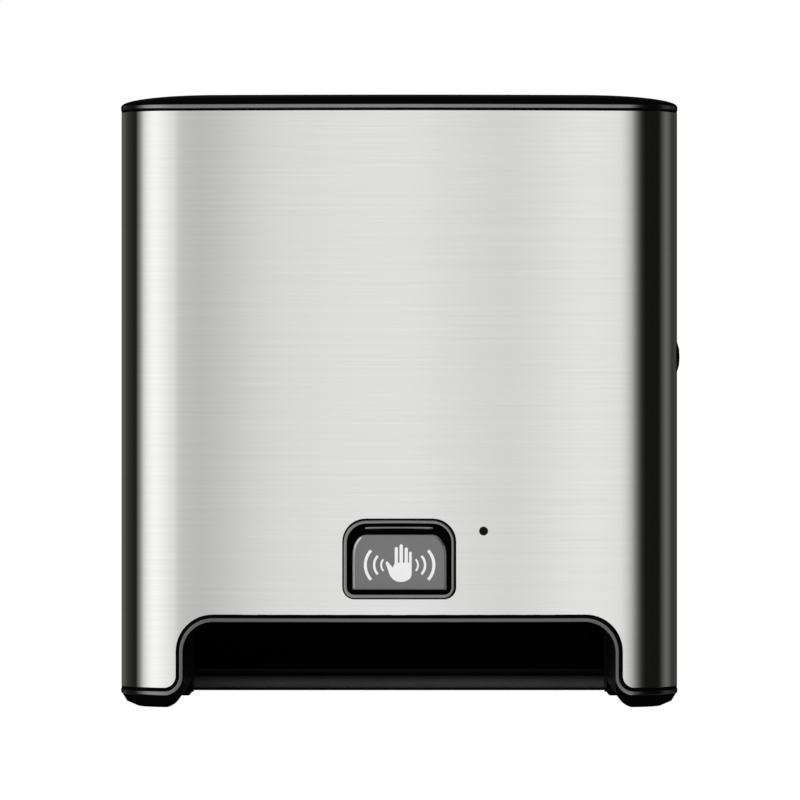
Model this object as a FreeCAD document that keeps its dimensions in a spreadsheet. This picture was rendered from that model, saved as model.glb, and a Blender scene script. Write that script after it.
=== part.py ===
import FreeCAD, Part
import math
import os
import re
import Sketcher

# A wall-mounted paper towel dispenser with a hands-free sensor.
# Millimetres: +X to the user's right, -Y out of the wall, +Z up.
# The origin lies on the wall plane, midway between the four wall screws.

Vector = FreeCAD.Vector
os.makedirs("parts", exist_ok=True)
document = FreeCAD.newDocument("towel_dispenser")

# Driving sizes are numbers. A size that starts with an equals sign is worked out in the sheet.
SIZES = {
    # outer case
    "case_width": 345,
    "case_height": 379,
    "case_depth": 206,
    "crown_rise": 7.3,
    "crown_side_run": 61,
    "crown_front_run": 40,
    "crown_corner": 0.75,
    "corner_radius": 34,
    "bow_radius": 1400,
    "foot_taper": 3.2,
    "foot_height": 8.6,
    "wall": 2.6,
    "case_bottom": "=-case_height / 2",
    "case_rim": "=case_height / 2 - crown_rise",
    "seam_y": "=-case_depth / 4 + 2.3",
    "seam_gap": 0.6,
    # tuck: how far fused pieces sink into each other. over: how far a cutting tool passes a face
    "tuck": 0.5,
    "over": 1,
    # opening under the towel outlet
    "arch_half": "=case_width / 2 - 34.8",
    "arch_top": "=case_bottom + 57.8",
    "arch_radius": 23,
    "arch_return": 14,
    "foot_radius": 7.2,
    "inner_foot_radius": 14,
    "rear_foot_radius": 4,
    "trim_width": 4.7,
    # steel front
    "steel_foot": "=case_bottom + 12.6",
    "steel_top": "=case_rim - 4",
    "steel_rear": -100,
    "steel_thickness": 0.8,
    "steel_gap": 0.1,
    "bead_width": 2.6,
    "bead_proud": 0.3,
    "slot_width": 9,
    "slot_depth": 3,
    "slot_height": 1.3,
    "top_slot_pitch": 126,
    "arch_slot_pitch": 91.2,
    # sensor window in the front
    "bezel_width": 69.1,
    "bezel_height": 48.8,
    "bezel_z": "=arch_top + 34.2",
    "bezel_top_radius": 14,
    "bezel_foot_radius": 7,
    "bezel_proud": 1.5,
    "bezel_depth": 11,
    "bezel_ring": 2.5,
    "window_width": 56.6,
    "window_height": 33.4,
    "window_z": "=bezel_z - 1.8",
    "window_top_radius": 10,
    "window_foot_radius": 2,
    "window_recess": 6.5,
    "window_thickness": 1.6,
    "window_lap": 1.6,
    "fit_gap": 0.15,
    # indicator lamp
    "lamp_x": 51.8,
    "lamp_z": "=bezel_z + 17.1",
    "lamp_radius": 2.5,
    "lamp_length": 4.2,
    "lamp_back": 2,
    "lamp_flange": 0.9,
    # hinge at the foot of the cover
    "hinge_y": "=seam_y - 8.8",
    "hinge_z": "=case_bottom + 9",
    "heel_radius": 9,
    "pin_radius": 2.5,
    "pin_clearance": 0.06,
    "ear_radius": 5.5,
    "ear_width": 6,
    "ear_x": "=case_width / 2 - 23.5",
    "knuckle_radius": 6,
    "knuckle_length": 10,
    "side_gap": 0.5,
    # back plate
    "back_plate": 3,
    "screw_x": "=case_width / 2 - 26.5",
    "screw_z": "=case_height / 2 - 43.5",
    "screw_hole_radius": 2.75,
    "screw_boss_radius": 9,
    "screw_boss_height": 4,
    "lip_radius": 12,
    "lip_lift": 1.7,
    # lock button on the right
    "lock_y": "=seam_y - 30.8",
    "lock_z": 27.5,
    "button_radius": 11,
    "button_proud": 5.8,
    "button_edge": 1.6,
    "button_skirt": 8,
    "button_clearance": 0.2,
    "stem_radius": 4,
    "stem_gap": 0.2,
    "rosette_radius": 15,
    "rosette_proud": 1.6,
    "rosette_depth": 10,
    "lock_plate_x": "=case_width / 2 - 31.5",
    "lock_plate": 3,
    "lock_margin": 3,
    "lock_web": 2,
    # latch behind the button
    "latch_pivot_x": "=case_width / 2 - 15.5",
    "latch_pivot_y": "=seam_y - 10.8",
    "latch_height": 9,
    "latch_margin": 8,
    "latch_pin_radius": 2,
    "latch_hub_wall": 2.2,
    "latch_inner": 7.2,
    "latch_outer": 4.8,
    "latch_swell": 3,
    "strike_y": "=seam_y + 9.2",
    "strike_x": "=latch_pivot_x - 7.5",
    "strike_sheet": 2,
    "strike_foot": 12.5,
    "strike_catch": 2.1,
    "strike_margin": 3,
    "strike_set": 1.5,
    "hook_grip": 1.6,
    "hook_gap": 0.3,
    "hook_length": 4,
    "latch_lead": 6,
    "latch_trail": 5,
    "coil_pitch": 1.6,
    "latch_wire": 0.35,
    # towel roll and its arms
    "roll_radius": "=min((case_depth - 16) / 2; case_height / 4 + 0.25)",
    "roll_length": "=case_width - 135",
    "roll_x": -4.5,
    "roll_y": "=-(roll_radius + 5)",
    "roll_z": "=case_rim - wall - roll_radius - 14.6",
    "roll_end_gap": 2.5,
    "arm_thickness": 5,
    "arm_width": 34,
    "arm_foot": 16,
    "foot_plate": 3,
    "hub_radius": 18,
    "hub_length": 13,
    "hub_flange": 27,
    "hub_bore": 5,
    "hub_tip": 3,
    "hub_rib": 0.6,
    "spigot_radius": 4.95,
    "pivot_out": 11,
    "barrel_radius": 6,
    "lug_height": 6,
    "bracket_half": 9,
    # feed module
    "battery_x": "=-(case_width / 2 - wall - cell_radius - battery_wall - 5.3)",
    "cheek": 4,
    "cheek_left_x": "=battery_x + cell_radius + battery_wall + 1.4",
    "cheek_right_x": "=case_width / 2 - 61",
    "deck_z": "=roll_z - roll_radius - 19",
    "deck_thickness": 2.5,
    "deck_rear_y": -42,
    "deck_ramp_rise": 14,
    "module_rear_y": -3,
    "chute_front_y": "=-case_depth + 24",
    "chute_top_radius": 14,
    "chute_foot_radius": 12,
    "chute_thickness": 2.5,
    "throat_front_y": "=chute_front_y + 36",
    "outlet_y": "=chute_front_y + 29",
    "outlet_z": "=arch_top - 16.3",
    "rear_slope": 10,
    "tie_width": 12,
    "tie_thickness": 3,
    "tie_out": 60,
    "tie_rise": 18,
    "deck_lead": 6,
    "deck_lip": 8,
    "chute_drop": 2,
    "cheek_step": 23,
    "cheek_drop": 4,
    "cheek_back": 52,
    "cheek_rise": 26,
    "rear_plate_rise": 2,
    "ramp_gap": 2,
    # rollers
    "drive_y": "=chute_front_y + 70",
    "drive_z": "=deck_z - 28",
    "drive_radius": 14,
    "drive_core": 9,
    "shaft_radius": 3.5,
    "shaft_clearance": 0.05,
    "bush_wall": 2.5,
    "bush_flange": 1.5,
    "sleeve_pitch": "=(cheek_right_x - cheek_left_x - cheek - 28.5) / 3",
    "sleeve_length": "=sleeve_pitch - 26",
    "pinch_radius": 8,
    "pinch_core": 5,
    "pinch_shaft_radius": 2.5,
    "nip_gap": 0.3,
    "carrier_drop": 28,
    "carrier_wall": 2,
    "carrier_arm": 3,
    "carrier_half": 4.4,
    "carrier_set": 2,
    "carrier_slant": 2,
    "carrier_root": 1.5,
    "carrier_gap": 4,
    "pinch_wire": 0.5,
    "pinch_coil_gap": 0.4,
    # tear bar and guide
    "bar_thickness": 0.8,
    "bar_depth": 16,
    "bar_lap": 11,
    "tooth_pitch": 5,
    "tooth_depth": 3,
    "bar_screw_radius": 2.6,
    "bar_screw_drop": 4,
    "bar_screw_share": 0.42,
    "guide_radius": 109,
    "guide_thickness": 2,
    "guide_sweep": 18,
    "guide_gap": 4,
    "guide_reach": 2,
    "guide_lead": 8,
    # gear train on the right cheek
    "gear_module": 1,
    "gear_width": 5,
    "gear_root": 1.25,
    "gear_crest": 0.85,
    "tooth_foot_half": 1.08,
    "tooth_tip_half": 0.34,
    "tooth_sink": 0.4,
    "pinion_teeth": 12,
    "idler_teeth": 44,
    "idler_pinion_teeth": 16,
    "roller_teeth": 40,
    "motor_y": "=drive_y + 50 * gear_module",
    "motor_z": "=drive_z - 16 * gear_module",
    "motor_radius": 14,
    "motor_length": 34,
    "motor_nose": 5,
    "motor_tail": 4,
    "motor_shaft_radius": 1.5,
    "axle_radius": 2.5,
    "idler_hub_radius": 5.5,
    "gear_gap": 1,
    "gearbox_wall": 2,
    "gearbox_radius": 7,
    "gearbox_front": 25,
    "gearbox_rear": 11,
    "gearbox_low": 30,
    "gearbox_gap": 3,
    "small_screw_radius": 3,
    "screw_head_radius": 3.5,
    "screw_head": 2,
    # batteries
    "cell_radius": 17.1,
    "cell_length": 61.5,
    "cell_nub": 4.7,
    "cell_nub_height": 1.5,
    "battery_low_z": "=deck_z - 32",
    "battery_rear_y": -7,
    "battery_wall": 2,
    "battery_foot": 8,
    "battery_foot_rise": 12,
    "contact_height": 2.4,
    "contact_half": 5,
    "contact_reach": 0.4,
    "shelf": 1.6,
    "door_gap": 0.3,
    "door_pin": 1.2,
    "door_barrel": 2,
    "door_lug": 4,
    "door_tab": 8,
    # electronics
    "board_thickness": 1.6,
    "board_width": 52,
    "board_height": 30,
    "board_margin": 5,
    "board_y": "=-case_depth + 19",
    "post_radius": 3,
    "eye_radius": 2.5,
    "eye_length": 4,
    "eye_spacing": 24,
    "panel_width": 46,
    "panel_depth": 24,
    "panel_x": "=cheek_right_x - 33.5",
    "panel_half": 2,
    "panel_drop": 7,
    "panel_set": 12,
    "panel_radius": 3,
    "feed_button_radius": 6,
    "key_height": 4,
    "key_gap": 0.3,
    "slider_travel": 5,
    "slider_width": 5,
    "slider_set": 4,
    "slot_low": 10,
    "slot_high": 14,
    "module_screw_x": 20,
    "module_screw_drop": 10,
    "module_screw_rise": 36,
    "arm_screw_pitch": 48,
}

sheet = document.addObject("Spreadsheet::Sheet", "Sizes")
for row, (name, size) in enumerate(SIZES.items(), 1):
    sheet.set(f"A{row}", name)
    sheet.set(f"B{row}", str(size))
    sheet.setAlias(f"B{row}", name)
document.recompute()

NODES = {}
# which way a base plane's normal runs along the world axis across it
FACING = {"XY": 1, "XZ": -1, "YZ": 1}
TURNS = {
    "X": FreeCAD.Rotation(Vector(0, 1, 0), 90),
    "-X": FreeCAD.Rotation(Vector(0, 1, 0), -90),
    "-Y": FreeCAD.Rotation(Vector(1, 0, 0), 90),
    "Z": FreeCAD.Rotation(),
}


def linked(text):
    # an expression in which each size's name points at its cell
    return re.sub(r"[a-z_]+", lambda word: "Sizes." + word[0] if word[0] in SIZES else word[0], str(text))


def value(text):
    return float(sheet.evalExpression(linked(text)))


def bind(thing, prop, text):
    thing.setExpression(prop, linked(text))


def place(thing, x, y, z):
    for axis, text in zip("xyz", (x, y, z)):
        bind(thing, f"Placement.Base.{axis}", text)


def block(name, x, y, z):
    # a box between two values on each axis
    box = document.addObject("Part::Box", name)
    place(box, x[0], y[0], z[0])
    for prop, (low, high) in zip(("Length", "Width", "Height"), (x, y, z)):
        bind(box, prop, f"({high}) - ({low})")
    return box


def rod(name, axis, start, radius, length):
    # a cylinder that starts at a point and runs along an axis
    cylinder = document.addObject("Part::Cylinder", name)
    cylinder.Placement = FreeCAD.Placement(Vector(), TURNS[axis])
    place(cylinder, *start)
    bind(cylinder, "Radius", radius)
    bind(cylinder, "Height", length)
    return cylinder


def ring(name, axis, start, radius, bore, length):
    # a tube: a rod with a hole of its own along it
    return cut(name, rod(name + "_outer", axis, start, radius, length),
               rod(name + "_bore", axis, start, bore, length))


def fuse(name, *shapes):
    union = document.addObject("Part::MultiFuse", name)
    union.Shapes = list(shapes)
    return union


def common(name, first, second):
    overlap = document.addObject("Part::MultiCommon", name)
    overlap.Shapes = [first, second]
    return overlap


def cut(name, base, *tools):
    result = document.addObject("Part::Cut", name)
    result.Base = base
    result.Tool = tools[0] if len(tools) == 1 else fuse(name + "_tools", *tools)
    return result


def mirrored(name, source):
    # the same piece on the other side of the centre plane
    copy = document.addObject("Part::Mirroring", name)
    copy.Source = source
    copy.Normal = Vector(1, 0, 0)
    return copy


def keep(name, thing):
    NODES[name] = thing


def flat_sketch(body, name, plane, lift):
    # an empty sketch on one of the body's base planes, lifted along the world axis across it
    sketch = body.newObject("Sketcher::SketchObject", name)
    base = next(feature for feature in body.Origin.OriginFeatures if feature.Role == plane + "_Plane")
    sketch.AttachmentSupport = [(base, "")]
    sketch.MapMode = "FlatFace"
    bind(sketch, "AttachmentOffset.Base.z", f"{FACING[plane]} * ({lift})")
    return sketch


def pin(sketch, kind, index, text, point=None):
    # a dimension that follows a size: a radius, or a point's distance from the sketch's origin
    spot = (index,) if point is None else (-1, 1, index, point)
    number = sketch.addConstraint(Sketcher.Constraint(kind, *spot, value(text)))
    bind(sketch, f"Constraints[{number}]", text)


def bend(here, there, radius):
    # the arc between two points, with its centre on the left of the way for a positive radius
    chord = there - here
    reach = math.sqrt(max(radius ** 2 - (chord.Length / 2) ** 2, 0))
    across = Vector(-chord.y, chord.x, 0).normalize()
    centre = (here + there) * 0.5 + across * math.copysign(reach, radius)
    first, last = (here, there) if radius > 0 else (there, here)
    begin, end = [math.atan2(point.y - centre.y, point.x - centre.x) for point in (first, last)]
    circle = Part.Circle(centre, Vector(0, 0, 1), abs(radius))
    return Part.ArcOfCircle(circle, begin, end if end > begin else end + 2 * math.pi)


def profile(body, name, plane, lift, path):
    # a closed outline: each point is (across, up) and, where an arc leads on from it, the arc's radius,
    # positive for a left-hand turn
    sketch = flat_sketch(body, name, plane, lift)
    corners = [Vector(value(point[0]), value(point[1]), 0) for point in path]
    ends = []
    for here, there, point in zip(corners, corners[1:] + corners[:1], path):
        radius = value(point[2]) if len(point) == 3 else 0
        sketch.addGeometry(bend(here, there, radius) if radius else Part.LineSegment(here, there))
        ends.append((2, 1) if radius < 0 else (1, 2))
    for index, point in enumerate(path):
        start, end = ends[index]
        following = (index + 1) % len(path)
        sketch.addConstraint(Sketcher.Constraint("Coincident", index, end, following, ends[following][0]))
        pin(sketch, "DistanceX", index, point[0], start)
        pin(sketch, "DistanceY", index, point[1], start)
        if len(point) == 3:
            pin(sketch, "Radius", index, f"abs({point[2]})")
    return sketch


def circles(body, name, plane, lift, spots):
    # a sketch of round outlines, each (across, up, radius)
    sketch = flat_sketch(body, name, plane, lift)
    for index, (across, up, radius) in enumerate(spots):
        centre = Vector(value(across), value(up), 0)
        sketch.addGeometry(Part.Circle(centre, Vector(0, 0, 1), value(radius)))
        pin(sketch, "DistanceX", index, across, 3)
        pin(sketch, "DistanceY", index, up, 3)
        pin(sketch, "Radius", index, radius)
    return sketch


def slab(name, plane, first, last, path):
    # an outline padded from one level to another, as a body
    body = document.addObject("PartDesign::Body", name)
    pad = body.newObject("PartDesign::Pad", name + "_pad")
    pad.Profile = profile(body, name + "_outline", plane, first, path)
    bind(pad, "Length", f"{FACING[plane]} * (({last}) - ({first}))")
    return body


def turned(name, path):
    # an outline turned once round the X axis, as a body
    body = document.addObject("PartDesign::Body", name)
    turn = body.newObject("PartDesign::Revolution", name + "_turn")
    turn.Profile = profile(body, name + "_outline", "XY", "0", path)
    turn.ReferenceAxis = (turn.Profile[0], ["H_Axis"])
    turn.Angle = 360
    return body


def rectangle(x, y, radius=None):
    # corners counter-clockwise, with or without rounds
    (left, right), (low, high) = x, y
    if radius is None:
        return [(left, low), (right, low), (right, high), (left, high)]
    return [(f"({left}) + {radius}", low), (f"({right}) - {radius}", low, radius),
            (right, f"({low}) + {radius}"), (right, f"({high}) - {radius}", radius),
            (f"({right}) - {radius}", high), (f"({left}) + {radius}", high, radius),
            (left, f"({high}) - {radius}"), (left, f"({low}) + {radius}", radius)]


def export_all():
    document.recompute()
    for thing in document.Objects:
        if "Invalid" in thing.State or "Error" in thing.State:
            raise RuntimeError(f"{thing.Name} did not build: {thing.State}")
    for name, thing in NODES.items():
        thing.Label = name
        if thing.Shape.isNull() or not thing.Shape.isValid():
            raise RuntimeError(f"{name} has no valid shape")
        thing.Shape.exportStep(f"parts/{name}.step")


# Case outlines

HALF = "case_width / 2"
FAR = "case_width"
OPEN_HALF = "(arch_half - trim_width)"
OPEN_TOP = "(arch_top - trim_width)"
OPEN_RADIUS = "(arch_radius - trim_width)"
LEG_INNER = f"({OPEN_HALF} + wall)"
FOOT_LEVEL = "(case_bottom + foot_height)"
CROWN_STEPS = (0, 0.06, 0.3, 1)
HOLLOW_STEPS = (0, 1)
# how deep each section of a foot lies, as a share of its height, and how many tapers it is drawn in
FOOT_STEPS = ((0, 0), (0.65, 1.05), (1, 3.2))


def cover_plan(inset, lean="0"):
    # plan of the front case: bowed front, round corners, straight sides. lean draws it in towards the crown
    half = f"({HALF} - ({inset}) - crown_side_run * {lean})"
    bow = f"(bow_radius - ({inset}) - crown_front_run * {lean})"
    radius = f"((corner_radius - ({inset})) * (1 - crown_corner * {lean}))"
    bow_y = "(bow_radius - case_depth)"
    corner_x = f"({half} - {radius})"
    corner_y = f"({bow_y} - sqrt(({bow} - {radius})^2 - {corner_x}^2))"
    share = f"({bow} / ({bow} - {radius}))"
    touch_x = f"({corner_x} * {share})"
    touch_y = f"({bow_y} + ({corner_y} - {bow_y}) * {share})"
    return [(f"-{half}", "seam_y"), (f"-{half}", corner_y, radius), (f"-{touch_x}", touch_y, bow),
            (touch_x, touch_y, radius), (half, corner_y), (half, "seam_y")]


def rear_plan(front, back):
    # plan of the wall half: a plain rectangle, drawn in at its sides only
    def plan(inset, lean="0"):
        half = f"({HALF} - ({inset}) - crown_side_run * {lean})"
        return rectangle((f"-{half}", half), (front, back))
    return plan


def casing(name, plan, inset, leans, foot):
    # a solid of one plan with a foot drawn in at its underside and a crowned top.
    # With no leans its top stays level, high enough for a ceiling to be cut from it
    body = document.addObject("PartDesign::Body", name)
    pad = body.newObject("PartDesign::Pad", name + "_wall")
    pad.Profile = profile(body, name + "_plan", "XY", FOOT_LEVEL, plan(inset))
    lift = "0" if leans else "crown_rise + over"
    bind(pad, "Length", f"case_rim - ({inset}) + {lift} - ({FOOT_LEVEL})")
    crown = [profile(body, f"{name}_crown_{index}", "XY",
                     f"case_rim - ({inset}) + crown_rise * sqrt(1 - (1 - {lean})^2)", plan(inset, lean))
             for index, lean in enumerate(leans)]
    sole = [profile(body, f"{name}_sole_{index}", "XY", f"{FOOT_LEVEL} - ({foot}) * {depth}",
                    plan(f"{inset} + foot_taper * {draw}"))
            for index, (depth, draw) in enumerate(FOOT_STEPS)]
    for side, sections in (("top", crown), ("under", sole)):
        if sections:
            loft = body.newObject("PartDesign::AdditiveLoft", f"{name}_{side}")
            loft.Profile = sections[0]
            loft.Sections = sections[1:]
            loft.Ruled = True
    return body


def under_ceiling(name, room):
    # the part of a room under a ceiling that is level in the middle and slopes to the sides and the front
    rim, low, side, front = "(case_rim - wall)", f"-{FAR}", f"({HALF} - wall)", "(wall - case_depth)"
    half, wide = f"({side} - crown_side_run)", f"({side} + crown_side_run)"
    across = slab(name + "_across", "XZ", FAR, f"-{FAR}",
                  [(f"-{wide}", low), (wide, low), (wide, f"{rim} - crown_rise"),
                   (half, f"{rim} + crown_rise"), (f"-{half}", f"{rim} + crown_rise"),
                   (f"-{wide}", f"{rim} - crown_rise")])
    start, end = f"({front} - crown_front_run)", f"({front} + 2 * crown_front_run)"
    along = slab(name + "_along", "YZ", f"-{FAR}", FAR,
                 [(start, low), (FAR, low), (FAR, f"{rim} + 2 * crown_rise"),
                  (end, f"{rim} + 2 * crown_rise"), (start, f"{rim} - crown_rise")])
    return common(name, common(name + "_sides", room, across), along)


def front_edge(grow, top, side=FAR):
    # the front's outline seen from the room: feet and arch below, level top.
    # grow moves the lower edge outwards
    half, peak = f"(arch_half - ({grow}))", f"(arch_top - ({grow}))"
    inner, outer = f"(arch_radius - ({grow}))", f"(foot_radius + ({grow}))"
    base = f"(steel_foot - ({grow}))"
    return [(f"-({side})", base), (f"-({half} + {outer})", base, outer),
            (f"-{half}", f"{base} + {outer}"), (f"-{half}", f"{peak} - {inner}", f"-{inner}"),
            (f"-({half} - {inner})", peak), (f"{half} - {inner}", peak, f"-{inner}"),
            (half, f"{peak} - {inner}"), (half, f"{base} + {outer}", outer), (f"{half} + {outer}", base),
            (side, base), (side, top), (f"-({side})", top)]


def tunnel_edge(half, peak, radius, base, flare):
    # the arch as an opening, flared where the feet meet the ground line
    return [(f"-({half} + {flare})", base), (f"{half} + {flare}", base, f"-({flare})"),
            (half, f"{base} + {flare}"), (half, f"{peak} - {radius}", radius),
            (f"{half} - {radius}", peak), (f"-({half} - {radius})", peak, radius),
            (f"-({half})", f"{peak} - {radius}"), (f"-({half})", f"{base} + {flare}", f"-({flare})")]


def leg_walls(name, back):
    # the walls of the two feet beside the arch
    right = block(f"{name}_leg_wall", (OPEN_HALF, LEG_INNER), (f"-{FAR}", back),
                  ("case_bottom", f"{OPEN_TOP} - over"))
    return right, mirrored(f"{name}_leg_wall_left", right)


def tunnel(name, back, flare):
    # the cutting tool for the space under the arch
    return slab(name, "XZ", back, f"-{FAR}",
                tunnel_edge(OPEN_HALF, OPEN_TOP, OPEN_RADIUS, "(case_bottom - tuck)", flare))


# Cover: the shell that swings down, with the steel front on it

def make_cover_shell():
    blank = casing("cover_blank", cover_plan, "0", CROWN_STEPS, "foot_height")
    room = casing("cover_hollow", cover_plan, "wall", (), "foot_height - wall")
    hollow = under_ceiling("cover_ceiling", room)
    brow = slab("cover_brow", "XZ", "-case_depth + arch_return", f"-{FAR}",
                tunnel_edge(LEG_INNER, f"({OPEN_TOP} + wall)", f"({OPEN_RADIUS} + wall)",
                            "(case_bottom - over)", "wall"))
    pocket = cut("cover_pocket", hollow, brow, *leg_walls("cover", "seam_y"))
    bead = common("cover_bead", bead_band(), bead_face())
    opened = cut("cover_open", blank, pocket, tunnel("cover_tunnel", "over", "inner_foot_radius"))
    return finish_cover(fuse("cover_raw", opened, bead))


def jacket(name, inset, low, high):
    # the cover's plan padded between two levels
    body = document.addObject("PartDesign::Body", name)
    pad = body.newObject("PartDesign::Pad", name + "_pad")
    pad.Profile = profile(body, name + "_plan", "XY", low, cover_plan(inset))
    bind(pad, "Length", f"({high}) - ({low})")
    return body


def bead_face():
    # a thin jacket round the front that the raised bead is cut from
    return cut("bead_face", jacket("bead_jacket", "-bead_proud", FOOT_LEVEL, "case_rim"),
               jacket("bead_core", "wall / 2", f"{FOOT_LEVEL} - over", "case_rim + over"))


def bead_band():
    # the bead's course seen from the room: along the top, over the arch and round the feet
    outer = slab("bead_outer", "XZ", "steel_rear", f"-{FAR}", front_edge("trim_width", "case_rim"))
    inner = slab("bead_inner", "XZ", "steel_rear + over", f"-{FAR}",
                 front_edge("trim_width - bead_width", "case_rim - bead_width"))
    return cut("bead_band", outer, inner)


def steel_skin(name, gap):
    # the sheet's jacket round the front and sides
    low, high = "steel_foot - over", "steel_top + over"
    outer = jacket(name + "_outer", "0", low, high)
    inner = jacket(name + "_inner", f"steel_thickness + ({gap})", f"{low} - over", f"{high} + over")
    front = slab(name + "_front", "XZ", f"steel_rear + ({gap})", f"-{FAR}",
                 front_edge(gap, f"steel_top + ({gap})"))
    return common(name, cut(name + "_jacket", outer, inner), front)


def tall_outline(grow, width, height, middle, top_radius, foot_radius):
    # a level outline with larger rounds at the top than at the foot
    half, low = f"({width} / 2 + ({grow}))", f"({middle} - {height} / 2 - ({grow}))"
    high = f"({middle} + {height} / 2 + ({grow}))"
    foot, top = f"({foot_radius} + ({grow}))", f"({top_radius} + ({grow}))"
    return [(f"-({half} - {foot})", low), (f"{half} - {foot}", low, foot), (half, f"{low} + {foot}"),
            (half, f"{high} - {top}", top), (f"{half} - {top}", high), (f"-({half} - {top})", high, top),
            (f"-{half}", f"{high} - {top}"), (f"-{half}", f"{low} + {foot}", foot)]


def bezel_outline(grow):
    return tall_outline(grow, "bezel_width", "bezel_height", "bezel_z", "bezel_top_radius",
                        "bezel_foot_radius")


def window_outline(grow):
    return tall_outline(grow, "window_width", "window_height", "window_z", "window_top_radius",
                        "window_foot_radius")


def front_holes(name):
    # what both the shell and the steel leave open for the sensor frame and the lamp
    frame_hole = slab(f"{name}_frame_hole", "XZ", "-case_depth + 2 * bezel_depth", f"-{FAR}",
                      bezel_outline("fit_gap"))
    lamp_hole = rod(f"{name}_lamp_hole", "-Y", ("lamp_x", "-case_depth + bezel_depth", "lamp_z"),
                    "lamp_radius + fit_gap", "2 * bezel_depth")
    return frame_hole, lamp_hole


def finish_cover(shell):
    # recesses and holes for what the cover carries, then its hinge knuckles and latch plate
    recess = steel_skin("steel_recess", "steel_gap")
    lock_hole = rod("lock_hole", "X", ("lock_plate_x + lock_plate", "lock_y", "lock_z"),
                    "button_radius + over", HALF)
    ear_slot = block("ear_slot", ("ear_x - side_gap", "ear_x + ear_width + side_gap"),
                     ("hinge_y - ear_radius - 2 * over", "seam_y + over"),
                     ("case_bottom - over", "case_bottom + wall + fit_gap"))
    opened = cut("cover_opened", shell, recess, *front_holes("cover"), lock_hole, heel_tool(), ear_slot,
                 mirrored("ear_slot_left", ear_slot), *tab_slots())
    return fuse("cover_body", opened, *cover_knuckles(), lock_bracket())


def tab_slots():
    # short slots in the step round the steel, where the sheet's folded tabs hook in
    levels = (("top", "top_slot_pitch", "steel_top", "steel_top + slot_height"),
              ("arch", "arch_slot_pitch", "arch_top - slot_height", "arch_top"))
    return [block(f"tab_slot_{side}_{step + 1}",
                  (f"{step} * {pitch} - slot_width / 2", f"{step} * {pitch} + slot_width / 2"),
                  (f"-{FAR}", f"-case_depth + slot_depth + ({step} * {pitch})^2 / (2 * bow_radius)"),
                  (low, high))
            for side, pitch, low, high in levels for step in (-1, 0, 1)]


def heel_tool():
    # rounds the cover's lower rear edge about the hinge line, so that it turns clear of the wall half
    corner = block("heel_corner", (f"-{FAR}", FAR), ("hinge_y", "0"), (f"-{FAR}", "hinge_z"))
    keep_round = rod("heel_round", "X", (f"-{FAR} - over", "hinge_y", "hinge_z"), "heel_radius",
                     f"2 * ({FAR} + over)")
    return cut("heel", corner, keep_round)


def cover_knuckles():
    # two bosses a side that turn on the hinge pin, each tied to its leg wall
    knuckles = []
    bosses = (("inner", f"{LEG_INNER} - tuck", "ear_x - side_gap"),
              ("outer", "ear_x + ear_width + side_gap", f"{HALF} - wall + tuck"))
    for name, low, high in bosses:
        right = ring(f"knuckle_{name}", "X", (low, "hinge_y", "hinge_z"), "knuckle_radius",
                     "pin_radius + pin_clearance", f"({high}) - ({low})")
        knuckles += [right, mirrored(f"knuckle_{name}_left", right)]
    return knuckles


def lock_bracket():
    # plate behind the lock that guides the button's stem and carries the latch pin
    y = ("lock_y - button_radius - lock_margin", "latch_pivot_y + latch_margin")
    half = "(button_radius + lock_margin)"
    plate = block("lock_plate_wall", ("lock_plate_x", "lock_plate_x + lock_plate"), y,
                  (f"lock_z - {half}", f"lock_z + {half}"))
    webs = [block(f"lock_web_{side}", ("lock_plate_x", f"{HALF} - wall + tuck"), y,
                  (low, f"{low} + lock_web"))
            for side, low in (("low", f"lock_z - {half} - lock_web"), ("high", f"lock_z + {half}"))]
    stem_hole = rod("stem_hole", "X", ("lock_plate_x - over", "lock_y", "lock_z"), "stem_radius + stem_gap",
                    "lock_plate + 2 * over")
    return cut("lock_bracket", fuse("lock_bracket_raw", plate, *webs), stem_hole)


def make_steel_panel():
    return cut("steel_front", steel_skin("steel_sheet", "0"), *front_holes("steel"))


BEZEL_FRONT = "(-case_depth - bezel_proud)"
WINDOW_FRONT = f"({BEZEL_FRONT} + window_recess)"


def make_bezel():
    # the frame of the sensor window: a proud ring whose inside funnels back to the window
    frame = slab("bezel_frame", "XZ", f"{BEZEL_FRONT} + bezel_depth", BEZEL_FRONT, bezel_outline("0"))
    funnel = frame.newObject("PartDesign::SubtractiveLoft", "bezel_funnel")
    funnel.Profile = profile(frame, "bezel_mouth", "XZ", BEZEL_FRONT, bezel_outline("-bezel_ring"))
    funnel.Sections = [profile(frame, "bezel_throat", "XZ", WINDOW_FRONT, window_outline("0"))]
    funnel.Ruled = True
    seat = frame.newObject("PartDesign::Pocket", "bezel_seat")
    seat.Profile = profile(frame, "bezel_seat_outline", "XZ", WINDOW_FRONT,
                           window_outline("window_lap + fit_gap / 2"))
    bind(seat, "Length", "bezel_depth - window_recess")
    return frame


def make_window():
    face = f"({WINDOW_FRONT} + fit_gap)"
    return slab("window_plate", "XZ", f"{face} + window_thickness", face, window_outline("window_lap"))


def make_lamp():
    back = "-case_depth + wall + lamp_back"
    stem = rod("lamp_stem", "-Y", ("lamp_x", back, "lamp_z"), "lamp_radius", "lamp_length")
    flange = rod("lamp_flange_disc", "-Y", ("lamp_x", f"{back} + lamp_flange", "lamp_z"),
                 "lamp_radius + over", "lamp_flange")
    return fuse("lamp_pipe", stem, flange)


keep("cover_shell", make_cover_shell())
keep("steel_panel", make_steel_panel())
keep("sensor_bezel", make_bezel())
keep("sensor_window", make_window())
keep("indicator_lens", make_lamp())


# Wall half: the housing that is screwed to the wall

HOUSING_FRONT = "(seam_y + seam_gap)"
PLATE_MIDDLE = "(-back_plate / 2)"
LIP_FOOT = "(case_bottom + lip_lift)"


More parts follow.
